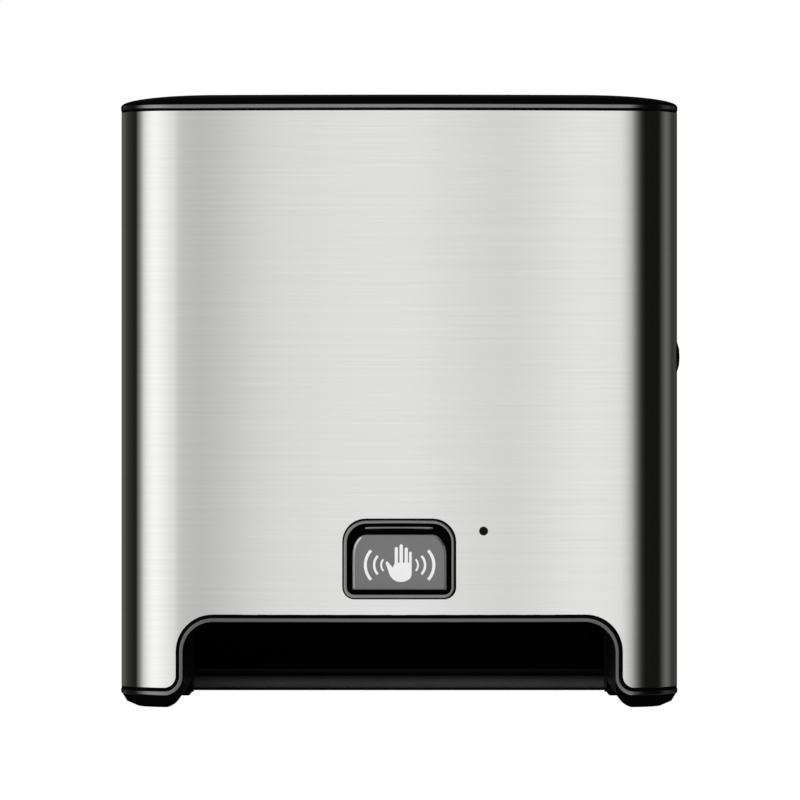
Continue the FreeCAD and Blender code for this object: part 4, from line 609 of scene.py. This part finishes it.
def easedTurn(plan, x):
    # the way the sheet faces where its bow flows into the corner
    start = plan["bow"] * math.sin(plan["turn"])
    low, high = start - steelSheet["easeIn"], start + steelSheet["easeOut"]
    if not low < abs(x) < high:
        return turnAtX(plan, x)
    span, share = high - low, (abs(x) - low) / (high - low)
    first, last = turnAtX(plan, low), turnAtX(plan, high)
    rateIn, rateOut = 1 / plan["bow"], 1 / (plan["corner"] * math.cos(last))
    square, cube = share ** 2, share ** 3
    turn = ((2 * cube - 3 * square + 1) * first + (cube - 2 * square + share) * span * rateIn
            + (3 * square - 2 * cube) * last + (cube - square) * span * rateOut)
    return math.copysign(turn, x)


def archLevel(x):
    # lower edge of the sheet between the feet
    sheet = steelSheet
    half, round_ = sheet["archHalf"] + sheet["edge"], sheet["archRound"] + sheet["edge"]
    peak = sheet["archTop"] + sheet["edge"]
    away = abs(x) - (half - round_)
    if away <= 0:
        return peak
    if away >= round_:
        return peak - round_
    return peak - round_ + math.sqrt(round_ ** 2 - away ** 2)


def footLevel(x):
    sheet = steelSheet
    round_ = sheet["footRound"] - sheet["edge"]
    base = sheet["foot"] + sheet["edge"]
    away = sheet["archHalf"] + sheet["edge"] + round_ - abs(x)
    if away <= 0:
        return base
    return base + round_ - math.sqrt(max(0.0, round_ ** 2 - away ** 2))


def makeSteelFront():
    sheet = steelSheet
    plan = casePlan()
    edge, margin = sheet["edge"], sheet["holeMargin"]
    top, peak = sheet["top"] - edge, sheet["archTop"] + edge
    half = sheet["archHalf"] + edge
    columns = steelColumns(plan)
    columns = [-x for x in reversed(columns) if x > 0] + columns
    stations = [(x, planAtTurn(plan, turnAtX(plan, x)), easedTurn(plan, x)) for x in columns]
    sideY = spread(plan["cornerY"], sheet["rear"] - edge, sheet["sideSteps"])[1:]
    left, right = ([(x, Vector((x, y)), math.copysign(math.pi / 2, x)) for y in sideY]
                   for x in (-plan["half"], plan["half"]))
    stations = left[::-1] + stations + right
    # the cells round the sensor frame and round the lamp are left out and filled later
    reach = lamp["radius"] + margin / 2
    blocks = [(-bezel["half"] - margin, bezel["half"] + margin,
               bezel["low"] - sheet["holeFoot"], bezel["high"] + margin),
              (lamp["x"] - reach, lamp["x"] + reach, lamp["z"] - reach, lamp["z"] + reach)]
    levels = {peak, top}
    for block in blocks:
        levels.update(block[2:])
    start = max(levels - {top})
    levels.update(spread(start, top, int((top - start) / sheet["step"]))[:-1])
    levels = sorted(levels)
    shares = [(level - peak) / (top - peak) for level in levels]
    bm = bmesh.new()
    normals = {}

    def addPoint(spot, turn, z):
        vert = bm.verts.new((spot.x, spot.y, z))
        normals[vert] = outward(turn)
        return vert

    upper = []
    for x, spot, turn in stations:
        low = archLevel(x)
        upper.append([addPoint(spot, turn, low + (top - low) * share) for share in shares])
    holes = {}
    for index in range(len(stations) - 1):
        for row in range(len(levels) - 1):
            midX = (stations[index][1].x + stations[index + 1][1].x) / 2
            midZ = (levels[row] + levels[row + 1]) / 2
            inside = [n for n, b in enumerate(blocks) if b[0] < midX < b[1] and b[2] < midZ < b[3]]
            first, second = upper[index], upper[index + 1]
            quad = (first[row], second[row], second[row + 1], first[row + 1])
            if inside and abs(stations[index][2]) < sheet["holeTurn"]:
                holes.setdefault(inside[0], []).append(quad)
            else:
                bm.faces.new(quad)
    # the two feet below the arch's rounds
    for side in (-1, 1):
        strips = []
        for (x, spot, turn), above in zip(stations, upper):
            if side * x >= half - sheet["tiny"] / 10:
                rise = spread(footLevel(x), peak - sheet["archRound"] - edge, sheet["footRows"])
                strips.append([addPoint(spot, turn, z) for z in rise[:-1]] + [above[0]])
        joinRows(bm, strips)
    # holes for the sensor frame and the lamp, filled out to the block round each
    gap = sheet["holeGap"] + edge
    reach = lamp["radius"] + sheet["lampGap"] + edge
    round_ = (reach, reach)
    outlines = (shapedOutline(bezel["half"] + gap, bezel["low"] - gap, bezel["high"] + gap,
                              (bezel["footRound"] + gap,) * 2, (bezel["topRound"] + gap,) * 2),
                [(x + lamp["x"], z) for x, z in
                 shapedOutline(reach, lamp["z"] - reach, lamp["z"] + reach, round_, round_, steps=6)])
    for number, quads in holes.items():
        counts = {}
        for quad in quads:
            for pair in zip(quad, quad[1:] + quad[:1]):
                counts[frozenset(pair)] = counts.get(frozenset(pair), 0) + 1
        border = [tuple(pair) for pair, uses in counts.items() if uses == 1]
        edges = [bm.edges.get(pair) or bm.edges.new(pair) for pair in border]
        ring = []
        for x, z in outlines[number]:
            turn = turnAtX(plan, x)
            spot = planAtTurn(plan, turn)
            if not ring or (ring[-1].co - Vector((spot.x, spot.y, z))).length > sheet["tiny"]:
                ring.append(addPoint(spot, turn, z))
        if (ring[0].co - ring[-1].co).length < sheet["tiny"]:
            normals.pop(ring[-1])
            bm.verts.remove(ring.pop())
        edges += [bm.edges.new(pair) for pair in zip(ring, ring[1:] + ring[:1])]
        bmesh.ops.triangle_fill(bm, use_beauty=True, use_dissolve=False, edges=edges)
    used = {vert for face in bm.faces for vert in face.verts}
    for vert in [v for v in bm.verts if v not in used]:
        normals.pop(vert, None)
        bm.verts.remove(vert)
    bm.normal_update()
    for face in bm.faces:
        if face.normal.dot(normals[face.verts[0]]) < 0:
            face.normal_flip()
    addRim(bm, normals, edge, sheet["thickness"])
    bm.verts.index_update()
    order = [normals[vert] for vert in bm.verts]
    piece = newPiece("steel_front", bm, "cover", steelFinish)
    piece.data.normals_split_custom_set_from_vertices([tuple(normal) for normal in order])
    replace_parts(piece, "steel_panel")


def addRim(bm, normals, edge, thickness):
    # rounds every free edge of a sheet over and back by its thickness
    border = [e for e in bm.edges if len(e.link_faces) == 1]
    away = {}
    for e in border:
        along = (e.verts[1].co - e.verts[0].co).normalized()
        inward = e.link_faces[0].calc_center_median() - (e.verts[0].co + e.verts[1].co) / 2
        for vert in e.verts:
            out = along.cross(normals[vert]).normalized()
            away.setdefault(vert, []).append(-out if out.dot(inward) > 0 else out)
    turns = [math.radians(30 * step) for step in (1, 2, 3)]
    rings = {}
    for vert, outs in away.items():
        out = sum(outs, Vector()).normalized()
        reach = 1 / max(0.5, out.dot(outs[0]))
        n = normals[vert]
        rings[vert] = [vert]
        for turn in turns:
            new = bm.verts.new(vert.co + out * edge * math.sin(turn) * reach
                               - n * edge * (1 - math.cos(turn)))
            normals[new] = (n * math.cos(turn) + out * math.sin(turn)).normalized()
            rings[vert].append(new)
        last = bm.verts.new(rings[vert][-1].co - n * (thickness - edge))
        normals[last] = out
        rings[vert].append(last)
    for e in border:
        a, b = e.verts
        if next(loop for loop in e.link_faces[0].loops if loop.edge == e).vert == a:
            a, b = b, a
        joinRows(bm, [rings[a], rings[b]])


makeSteelFront()
print("steel front made")


# Crown: smooth skins over the top of the case

crown = {
    "steps": 18,
    "clear": 0.04 * mm,          # how far the skin stands off the moulding under it
    "frontStep": 4.0,            # degrees of turn in the corners
    "bowStep": 8 * mm,
    "seamGap": 0.6 * mm,
}


def crownStations(plan):
    # ways the surface faces, from the left side round to the right
    edge = plan["turn"]
    count = int(2 * plan["bow"] * edge / crown["bowStep"])
    bow = [edge * (2 * index / count - 1) for index in range(count + 1)]
    steps = int(math.degrees(math.pi / 2 - edge) / crown["frontStep"])
    corner = spread(edge, math.pi / 2, steps)[1:]
    return [-turn for turn in reversed(corner)] + bow + corner


def crownSwings():
    # the share that the crown has leant in, how far it stands off, and its level, from the rim to the top
    for swing in spread(0, math.pi / 2, crown["steps"]):
        clear = crown["clear"] * math.cos(swing)
        yield 1 - math.cos(swing), clear, case["rim"] + clear + case["crownRise"] * math.sin(swing)


def makeCoverCrown():
    edge = casePlan()["turn"]
    bm = bmesh.new()
    rings = []
    for lean, clear, z in crownSwings():
        leant = casePlan(-clear, lean)
        spots = []
        for turn in crownStations(casePlan()):
            if abs(turn) <= edge:
                now = leant["turn"] * turn / edge
            else:
                over = (abs(turn) - edge) / (math.pi / 2 - edge)
                now = math.copysign(leant["turn"] + (math.pi / 2 - leant["turn"]) * over, turn)
            spots.append((*planAtTurn(leant, now), z))
        rings.append([(-leant["half"], case["seam"], z), *spots, (leant["half"], case["seam"], z)])
    gridOf(bm, rings[::-1])
    newPiece("cover_crown", bm, "cover", caseFinish)


def makeRearCrown():
    low = case["seam"] + crown["seamGap"]
    for side, label in ((-1, "left"), (1, "right")):
        bm = bmesh.new()
        rows = [[(side * (case["half"] + clear - case["crownSide"] * lean), y, z)
                 for y in (low, low / 2, 0.0)] for lean, clear, z in crownSwings()]
        gridOf(bm, rows[::-side])
        newPiece(f"rear_crown_{label}", bm, "housing", satinFinish)


makeCoverCrown()
makeRearCrown()
print("crown made")


# Beads: the raised mouldings along the top, over the arch and round the feet

bead = {
    "width": 2.6 * mm,
    "proud": 0.3 * mm,
    "dome": 0.1 * mm,
    "skin": 0.05 * mm,           # how far it stands off the moulding's own bead
    "trim": 4.4 * mm,            # from the steel's edge to the bead's far edge
    "footDrop": 3.4 * mm,
    "endTurn": 80.0,
    "fadeTurn": 20.0,
    "thin": 0.6,                 # share of its height left at its ends
    "square": 8,                 # how squarely its sides rise
    "across": 8,
    "turnSteps": 16,
    "legSteps": 8,
    "peakSteps": 41,
}


def beadHeight(share, turn):
    # height of the bead over the case at a place across it, fading into the moulding at the sides
    fade = min(1.0, max(0.0, (bead["endTurn"] - math.degrees(abs(turn))) / bead["fadeTurn"]))
    fade = fade * fade * (3 - 2 * fade)
    body = bead["proud"] * (bead["thin"] + (1 - bead["thin"]) * fade) * math.sqrt(1 - share ** bead["square"])
    return body + (bead["skin"] + bead["dome"] * (1 - share ** 2)) * fade


def sweepBead(name, path, material):
    # path: surface point, the way the surface faces, height, and the direction across the bead on the surface
    rows = []
    for spot, turn, z, sideways, upright in path:
        across = Vector((sideways * math.cos(turn), sideways * math.sin(turn), upright))
        rows.append([Vector((*spot, z)) + across * share * (bead["width"] / 2 + bead["skin"])
                     + outward(turn) * beadHeight(share, turn) for share in spread(-1, 1, bead["across"])])
    bm = bmesh.new()
    gridOf(bm, rows)
    bmesh.ops.recalc_face_normals(bm, faces=bm.faces)
    if sum(face.normal.y for face in bm.faces) > 0:
        bmesh.ops.reverse_faces(bm, faces=bm.faces)
    newPiece(name, bm, "cover", material)


def makeTopBead():
    plan = casePlan()
    turns = [turn for turn in crownStations(plan) if abs(turn) < math.radians(bead["endTurn"])]
    level = case["rim"] - bead["width"] / 2
    sweepBead("top_bead", [(planAtTurn(plan, turn), turn, level, 0, 1) for turn in turns], topFinish)


def makeArchBead():
    plan = casePlan()
    inset = bead["trim"] - bead["width"] / 2
    half, peak = steelSheet["archHalf"] - inset, steelSheet["archTop"] - inset
    inner, outer = steelSheet["archRound"] - inset, steelSheet["footRound"] + inset
    base = steelLow.z - bead["footDrop"]
    steps, legSteps = bead["turnSteps"], bead["legSteps"]
    quarters = spread(0, math.pi / 2, steps)
    # from the right side along the foot, up the leg and round to the peak: x, z and the direction across
    first, last = math.radians(bead["endTurn"]), turnAtX(plan, half + outer)
    course = [(planAtTurn(plan, turn).x, base, 0, 1) for turn in spread(first, last, steps)[:-1]]
    course += [(half + outer - outer * math.sin(angle), base + outer - outer * math.cos(angle),
                math.sin(angle), math.cos(angle)) for angle in quarters]
    course += [(half, base + outer + (peak - inner - base - outer) * index / legSteps, 1, 0)
               for index in range(1, legSteps)]
    course += [(half - inner + inner * math.cos(angle), peak - inner + inner * math.sin(angle),
                math.cos(angle), math.sin(angle)) for angle in quarters]
    level = [((half - inner) * (1 - 2 * index / bead["peakSteps"]), peak, 0, 1)
             for index in range(1, bead["peakSteps"])]
    path = []
    for x, z, a, b in course + level + [(-x, z, -a, b) for x, z, a, b in reversed(course)]:
        turn = turnAtX(plan, x)
        path.append((planAtTurn(plan, turn), turn, z, a, b))
    sweepBead("arch_bead", path, archFinish)


makeTopBead()
makeArchBead()
print("beads made")


# Rear lip: the smooth sweep at the foot of the wall half, with painted light that makes it paler towards its
# foot

lip = {
    "half": 133.5 * mm,
    "back": -3 * mm,
    "round": 12 * mm,
    "foot": case["bottom"] + 3.0 * mm,
    "clear": 0.05 * mm,
    "steps": 14,
    "lightLow": -186.5 * mm,      # level where the painted light is strongest
    "lightHigh": -178.6 * mm,
    "lightStart": 0.16,           # how far the painted light has come in at the upper edge
    "dust": (0.55, 0.55, 0.555, 1),
    "bare": (0.001, 0.001, 0.001, 1),
}


def makeRearLip():
    radius = lip["round"] - lip["clear"]
    rows = []
    for swing in spread(0, math.pi / 2, lip["steps"]):
        y = lip["back"] - lip["round"] + radius * math.cos(swing)
        z = lip["foot"] + lip["round"] - radius * math.sin(swing)
        rows.append([(x, y, z) for x in (-lip["half"], 0.0, lip["half"])])
    bm = bmesh.new()
    gridOf(bm, rows)
    # painted light: the black lip is painted paler towards its foot
    tones = {"Base": lip["bare"], "PaintedLight": lip["dust"], "Low": lip["lightLow"], "High": lip["lightHigh"],
             "Start": lip["lightStart"]}
    paintedLip = levelled("lipPaintedLight", tones, {"Roughness": 0.45, "Specular IOR Level": 0.1})
    newPiece("rear_lip", bm, "housing", paintedLip)


makeRearLip()
print("rear lip made")


# Round-wire springs

springs = {
    "sides": 10,
    "stepsPerTurn": 20,
    "turns": 3,
    "pitch": 1.6 * mm,
    # piece, body and node; axis, radius of the coil and of the wire; where each coil starts
    "coils": (("latch_coil", "latch", "latch_spring", 2, 3 * mm, 0.35 * mm, ((157 * mm, -60 * mm, 33 * mm),)),
              ("pinch_coils", "housing", "pinch_springs", 0, 5.4 * mm, 0.45 * mm,
               ((-112 * mm, -148 * mm, -100 * mm), (96.5 * mm, -148 * mm, -100 * mm)))),
}


def addCoil(bm, start, axis, radius, wire):
    # a closed tube along a helix about one of the axes
    along, first = (Vector([float(index == number % 3) for index in range(3)]) for number in (axis, axis + 1))
    second = along.cross(first)
    rows = []
    for step in range(springs["stepsPerTurn"] * springs["turns"] + 1):
        share = step / springs["stepsPerTurn"]
        out = first * math.cos(2 * math.pi * share) + second * math.sin(2 * math.pi * share)
        middle = Vector(start) + out * radius + along * springs["pitch"] * share
        rows.append([middle + (out * math.cos(turn) + along * math.sin(turn)) * wire
                     for turn in spread(0, 2 * math.pi, springs["sides"])[:-1]])
    rows = gridOf(bm, rows, closed=True)
    bm.faces.new(rows[0])
    bm.faces.new(rows[-1])


def makeSprings():
    for name, body, node, axis, radius, wire, starts in springs["coils"]:
        bm = bmesh.new()
        for start in starts:
            addCoil(bm, start, axis, radius, wire)
        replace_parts(newPiece(name, bm, body, slotFinish["spring_steel"], turned=True), node)


makeSprings()
print("springs made")


# Sensor frame, window and sign

sensor = {
    "steps": 12,
    "windowHalf": 28.9 * mm,
    "windowLow": windowLow.z + 1.0 * mm,
    "windowHigh": windowHigh.z - 1.6 * mm,
    "windowShoulder": (8.5 * mm, 13 * mm),
    "windowFoot": (0.9 * mm, 0.9 * mm),
    "crowned": 0.5 * mm,         # the frame's top edge is slightly arched
    "between": 8,                # pieces that this edge is made of
    "rim": 1.5 * mm,             # width of the bevel round the window
    "rimTilt": 0.3,              # its depth, and its width along the foot, as a share of that
    "highlightLeft": 0.15,             # where it faces further left than this it gets a painted highlight
    "highlightTop": 0.1,               # and where it faces further up than this a paler painted highlight
    "paneDepth": 1.8 * mm,
    "paneGap": 0.1 * mm,
    "ringWidth": 3.3 * mm,
    # course of the frame from its outer edge over the ring: share of its width, and mm behind its face
    "ring": ((0.0, 2.6), (0.0, 0.95), (0.13, 0.42), (0.3, 0.12), (0.5, 0.0), (0.72, 0.1), (0.92, 0.42),
             (1.0, 0.9)),
    "ringBare": (2, 5),          # the steps of that course that carry the metal finish
    "funnel": (0.35, 0.7),       # where rings lie on the way in to the window's seat
    "throat": 5.6 * mm,          # depth of the window's seat behind the ring
    "seat": 3 * mm,
}


def windowOutline(inset=0.0):
    across, up = sensor["windowShoulder"]
    return shapedOutline(sensor["windowHalf"] - inset, sensor["windowLow"] + sensor["rimTilt"] * inset,
                         sensor["windowHigh"] - inset, sensor["windowFoot"], (across - inset, up - inset), 0,
                         sensor["steps"], sensor["between"])


def makeSensorFrame():
    rings = []
    for share, back in sensor["ring"]:
        inset = share * sensor["ringWidth"]
        high = bezel["high"] - sensor["crowned"] - inset
        outline = shapedOutline(bezel["half"] - inset, bezel["low"] + inset, high,
                                (bezel["footRound"] - inset,) * 2, (bezel["topRound"] - inset,) * 2,
                                sensor["crowned"], sensor["steps"], sensor["between"])
        rings.append([Vector((x, bezel["face"] + back * mm, z)) for x, z in outline])
    mouth = rings[-1]
    throat = [Vector((x, bezel["face"] + sensor["throat"], z)) for x, z in windowOutline()]
    for share in sensor["funnel"]:
        rings.append([first.lerp(second, share) for first, second in zip(mouth, throat)])
    rings += [throat, [place + Vector((0, sensor["seat"], 0)) for place in throat]]
    bm = bmesh.new()
    gridOf(bm, rings, closed=True)
    piece = newPiece("sensor_frame", bm, "cover", caseFinish, turned=True)
    piece.data.materials.append(trimFinish)
    first, last = (len(throat) * step for step in sensor["ringBare"])
    for face in piece.data.polygons[first:last]:
        face.material_index = 1
    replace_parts(piece, "sensor_bezel")


def makeSensorWindow():
    front = bezel["face"] + sensor["throat"] + sensor["paneGap"]
    rim = sensor["rim"]
    rings = [[(x, front + back, z) for x, z in windowOutline(inset)]
             for inset, back in ((0.0, sensor["paneDepth"]), (0.0, rim * sensor["rimTilt"]), (rim, 0.0))]
    bm = bmesh.new()
    bm.faces.new(gridOf(bm, rings, closed=True)[-1])
    pane = newPiece("window_pane", bm, "cover", windowFinish, smooth=False, turned=True)
    pane.data.materials.append(trimFinish)
    pane.data.materials.append(bevelHighlightFinish)
    # painted highlights: bevel faces that face left get a pale metal finish, those facing up the trim finish
    count = len(rings[0])
    for face in pane.data.polygons[count:2 * count]:
        if face.normal.x < -sensor["highlightLeft"]:
            face.material_index = 2
        elif face.normal.z > sensor["highlightTop"]:
            face.material_index = 1
    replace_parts(pane, "sensor_window")
    return front


rib = {
    "half": 22 * mm,
    "level": -78.1 * mm,
    "height": 1.9 * mm,
    "proud": 0.6 * mm,
    "sag": 0.45 * mm,            # how far its ends hang below its middle
    "depth": 2.7 * mm,           # behind the frame's face
    "lean": 0.5,                 # how far it lies back for each unit of height, as the funnel does
    "steps": 28,
    "across": 8,
    "square": 16,                # how squarely its ends are cut
}


def makeFrameRib():
    # the ledge inside the top of the frame; its pale metal trim finish makes it a painted highlight line
    rows = []
    for share in spread(-1, 1, rib["steps"]):
        taper = math.sqrt(1 - abs(share) ** rib["square"])
        row = []
        for swing in spread(0, math.pi, rib["across"]):
            up = -math.cos(swing) * rib["height"] / 2 * taper
            out = math.sin(swing) * rib["proud"] * taper + up * rib["lean"]
            level = rib["level"] - rib["sag"] * share ** 2 + up
            row.append((share * rib["half"], bezel["face"] + rib["depth"] - out, level))
        rows.append(row)
    bm = bmesh.new()
    gridOf(bm, rows)
    newPiece("frame_rib", bm, "cover", trimFinish)


makeSensorFrame()
makeFrameRib()
windowFront = makeSensorWindow()


sign = {
    "lift": 0.12 * mm,
    "layer": 0.015 * mm,         # each shape lies this far in front of the one before
    "centre": (0.2 * mm, -101.4 * mm),
    # fingers: place across, top and width
    "fingers": ((-2.0 * mm, 11.2 * mm, 2.0 * mm), (1.0 * mm, 12.8 * mm, 2.1 * mm),
                (4.1 * mm, 10.9 * mm, 2.0 * mm), (6.65 * mm, 8.3 * mm, 1.6 * mm)),
    "fingerRoot": 3 * mm,        # how deep the fingers reach into the palm
    "palm": (-5.7 * mm, 7.45 * mm),
    "palmTop": 1.5 * mm,
    "palmFoot": -10.4 * mm,
    "palmRound": 5 * mm,
    "palmTopLeft": -2.9 * mm,
    "thumb": ((-7.7 * mm, 1.3 * mm), (-3.9 * mm, -5.4 * mm)),
    "thumbWidths": (1.7 * mm, 4.6 * mm),
    # waves on each side: distance of the arc's crown from the middle, its radius and line width
    "waves": ((11.9 * mm, 5.2 * mm, 1.15 * mm), (16.4 * mm, 8.3 * mm, 1.5 * mm),
              (22.0 * mm, 13.2 * mm, 1.85 * mm)),
    "waveSweep": 43.0,
    "roundSteps": 10,
    "palmSteps": 12,
    "waveSteps": 16,
}


def flatShape(bm, points, layer=0):
    # a closed flat shape facing the room, just in front of the window
    x0, z0 = sign["centre"]
    y = windowFront - sign["lift"] - layer * sign["layer"]
    bm.faces.new([bm.verts.new((x0 + x, y, z0 + z)) for x, z in points])


def pill(start, end, width, endWidth):
    # outline of a straight stroke with round ends
    heading = math.atan2(end[1] - start[1], end[0] - start[0])
    outline = []
    for (x, z), size, turn in ((end, endWidth, heading - math.pi / 2), (start, width, heading + math.pi / 2)):
        for step in range(sign["roundSteps"] + 1):
            angle = turn + math.pi * step / sign["roundSteps"]
            outline.append((x + size / 2 * math.cos(angle), z + size / 2 * math.sin(angle)))
    return outline


def makeSign():
    bm = bmesh.new()
    foot, shoulder, round_ = sign["palmFoot"], sign["palmTop"], sign["palmRound"]
    root = shoulder - sign["fingerRoot"]
    for number, (x, top, width) in enumerate(sign["fingers"]):
        flatShape(bm, pill((x, root), (x, top - width / 2), width, width), number + 1)
    left, right = sign["palm"]
    bow = [((left + right) / 2 + (right - left) / 2 * math.cos(turn), foot + round_ - round_ * math.sin(turn))
           for turn in spread(0, math.pi, sign["palmSteps"])]
    flatShape(bm, [(sign["palmTopLeft"], shoulder), *bow[::-1], (right, shoulder)])
    flatShape(bm, pill(*sign["thumb"], *sign["thumbWidths"]), len(sign["fingers"]) + 1)
    sweep = math.radians(sign["waveSweep"])
    angles = [sweep * (2 * step / sign["waveSteps"] - 1) for step in range(sign["waveSteps"] + 1)]
    for side in (-1, 1):
        for crest, radius, line in sign["waves"]:
            middle = crest - radius - line / 2
            outer, inner = ([(side * (middle + reach * math.cos(angle)), reach * math.sin(angle))
                             for angle in angles] for reach in (radius + line / 2, radius - line / 2))
            flatShape(bm, outer + inner[::-1])
    for face in bm.faces:
        face.normal_update()
        if face.normal.y > 0:
            face.normal_flip()
    newPiece("sign", bm, "cover", signFinish, smooth=False)


makeSign()
print("sensor frame, window and sign made")


# Studio: camera, light and floor

studio = {
    "camera": (0.00045, -3.706, 0.0001),
    "lens": 256.5,
    "floorZ": -1.35,             # the object hangs on a wall at working height
    "floorHalf": 3.4,
    "floorTone": (0.4, 0.4, 0.4, 1),
    "floorRough": 0.6,
    "floorGlow": 0.75,           # keeps the floor white to the camera
    "lampSize": 1.5,
    # soft lights round the object, not mirrored in it: place and power
    "lamps": {"front_lamp": ((-0.8, -2.8, 1.3), 45), "left_lamp": ((-2.7, 0.5, 1.0), 55),
              "right_lamp": ((2.7, 0.5, 1.0), 55), "back_lamp": ((0.6, 2.8, 1.1), 55),
              "top_lamp": ((0.2, 0.3, 2.9), 55)},
    "ceiling": (54, 30),         # elevations between which the soft light round the object comes in
    "sky": 0.2,                  # brightness overhead
    "skyStart": (60, 78),        # elevations between which it comes in
    # brightness of the surroundings by bearing, in degrees round from straight ahead
    "brightest": 1.5,
    "warmth": 0.2,               # how much blue the darkest parts of the surroundings lack
    "warmthFade": 20,            # how fast that fades in brighter parts
    "bearings": ((-168, 0.008), (-158, 0.12), (-147, 0.12), (-122, 0.04), (-92, 0.01), (-80, 0.34),
                 (-70, 0.85), (-58, 1.13), (-45, 1.225), (-31, 1.15), (-17.8, 0.99), (-14.3, 0.91),
                 (-13.5, 0.78), (-12.7, 0.44), (-11.2, 0.68), (-8, 0.92), (0, 1.01), (7, 0.825),
                 (11.5, 1.06), (13.2, 1.04), (14.8, 0.87), (18.8, 0.67), (26.5, 0.285), (32, 0.135),
                 (38, 0.045), (46, 0.01), (84, 0.007), (94, 0.09), (106, 0.17), (128, 0.045),
                 (150, 0.06), (162, 0.008)),
}


def makeCamera():
    camera = linked("camera", bpy.data.cameras.new("camera"))
    camera.location = studio["camera"]
    camera.rotation_euler = (math.pi / 2, 0, 0)
    camera.data.lens = studio["lens"]
    camera.data.sensor_width = 36
    camera.data.clip_start = 0.1
    camera.data.clip_end = 100
    bpy.context.scene.camera = camera


def toCamera(tree, hidden, seen):
    # one shader for camera rays and another for all the rest
    path = tree.nodes.new("ShaderNodeLightPath")
    given = {"Fac": path.outputs["Is Camera Ray"], 1: hidden, 2: seen}
    return added(tree, "ShaderNodeMixShader", given).outputs[0]


def makeWorld():
    world = bpy.data.worlds.new("studio")
    bpy.context.scene.world = world
    world.use_nodes = True
    tree = world.node_tree
    tree.nodes.clear()
    parts = partsOf(tree, "Generated")
    bearing = combined(tree, "ARCTAN2", parts["X"], times(tree, parts["Y"], -1.0))
    ramp = added(tree, "ShaderNodeValToRGB",
                 {"Fac": plus(tree, combined(tree, "DIVIDE", bearing, 2 * math.pi), 0.5)})
    points = ramp.color_ramp.elements
    for index, (degrees, level) in enumerate(studio["bearings"]):
        position = degrees / 360 + 0.5
        point = points[index] if index < 2 else points.new(position)
        point.position = position
        level = min(level / studio["brightest"], 1.0)
        blue = level * (1 - studio["warmth"] * (1 - level) ** studio["warmthFade"])
        point.color = (level, level, blue, 1)
    ceiling, sky = ([math.sin(math.radians(angle)) for angle in studio[name]]
                    for name in ("ceiling", "skyStart"))
    around = scaled(tree, ramp.outputs["Color"], eased(tree, parts["Z"], *ceiling))
    overhead = eased(tree, parts["Z"], *sky, studio["sky"] / studio["brightest"])
    total = added(tree, "ShaderNodeVectorMath", {0: around, 1: overhead}, "ADD").outputs[0]
    light = added(tree, "ShaderNodeBackground", {"Color": total, "Strength": studio["brightest"]})
    white = added(tree, "ShaderNodeBackground", {"Color": (1, 1, 1, 1)})
    added(tree, "ShaderNodeOutputWorld", {"Surface": toCamera(tree, light.outputs[0], white.outputs[0])})


def makeFloor():
    bm = bmesh.new()
    bmesh.ops.create_grid(bm, x_segments=8, y_segments=8, size=studio["floorHalf"])
    mesh = bpy.data.meshes.new("floor")
    bm.to_mesh(mesh)
    bm.free()
    floor = linked("floor", mesh)
    floor.location = (0, 0, studio["floorZ"])
    floor.visible_glossy = False
    material, tree, shader = newMaterial("paleFloor")
    feed(tree, shader, {"Base Color": studio["floorTone"], "Roughness": studio["floorRough"]})
    seen = tree.nodes.new("ShaderNodeLightPath").outputs["Is Camera Ray"]
    glow = added(tree, "ShaderNodeEmission",
                 {"Color": (1, 1, 1, 1), "Strength": times(tree, seen, studio["floorGlow"])})
    total = added(tree, "ShaderNodeAddShader", {0: shader.outputs[0], 1: glow.outputs[0]})
    # seen from below, the floor isn't there
    behind = tree.nodes.new("ShaderNodeNewGeometry").outputs["Backfacing"]
    clear = tree.nodes.new("ShaderNodeBsdfTransparent")
    both = added(tree, "ShaderNodeMixShader", {"Fac": behind, 1: total.outputs[0], 2: clear.outputs[0]})
    feed(tree, tree.nodes["Material Output"], {"Surface": both.outputs[0]})
    mesh.materials.append(material)


def makeLamps():
    # broad soft lights that fill in matt surfaces
    for name, (place, power) in studio["lamps"].items():
        data = bpy.data.lights.new(name, "AREA")
        data.shape = "SQUARE"
        data.size = studio["lampSize"]
        data.energy = power
        light = linked(name, data)
        light.location = place
        light.rotation_euler = (-Vector(place)).to_track_quat("-Z", "Y").to_euler()
        light.visible_glossy = False
        light.visible_camera = False


makeCamera()
makeWorld()
makeLamps()
makeFloor()
bpy.context.scene.view_settings.view_transform = "Standard"
print("studio made")
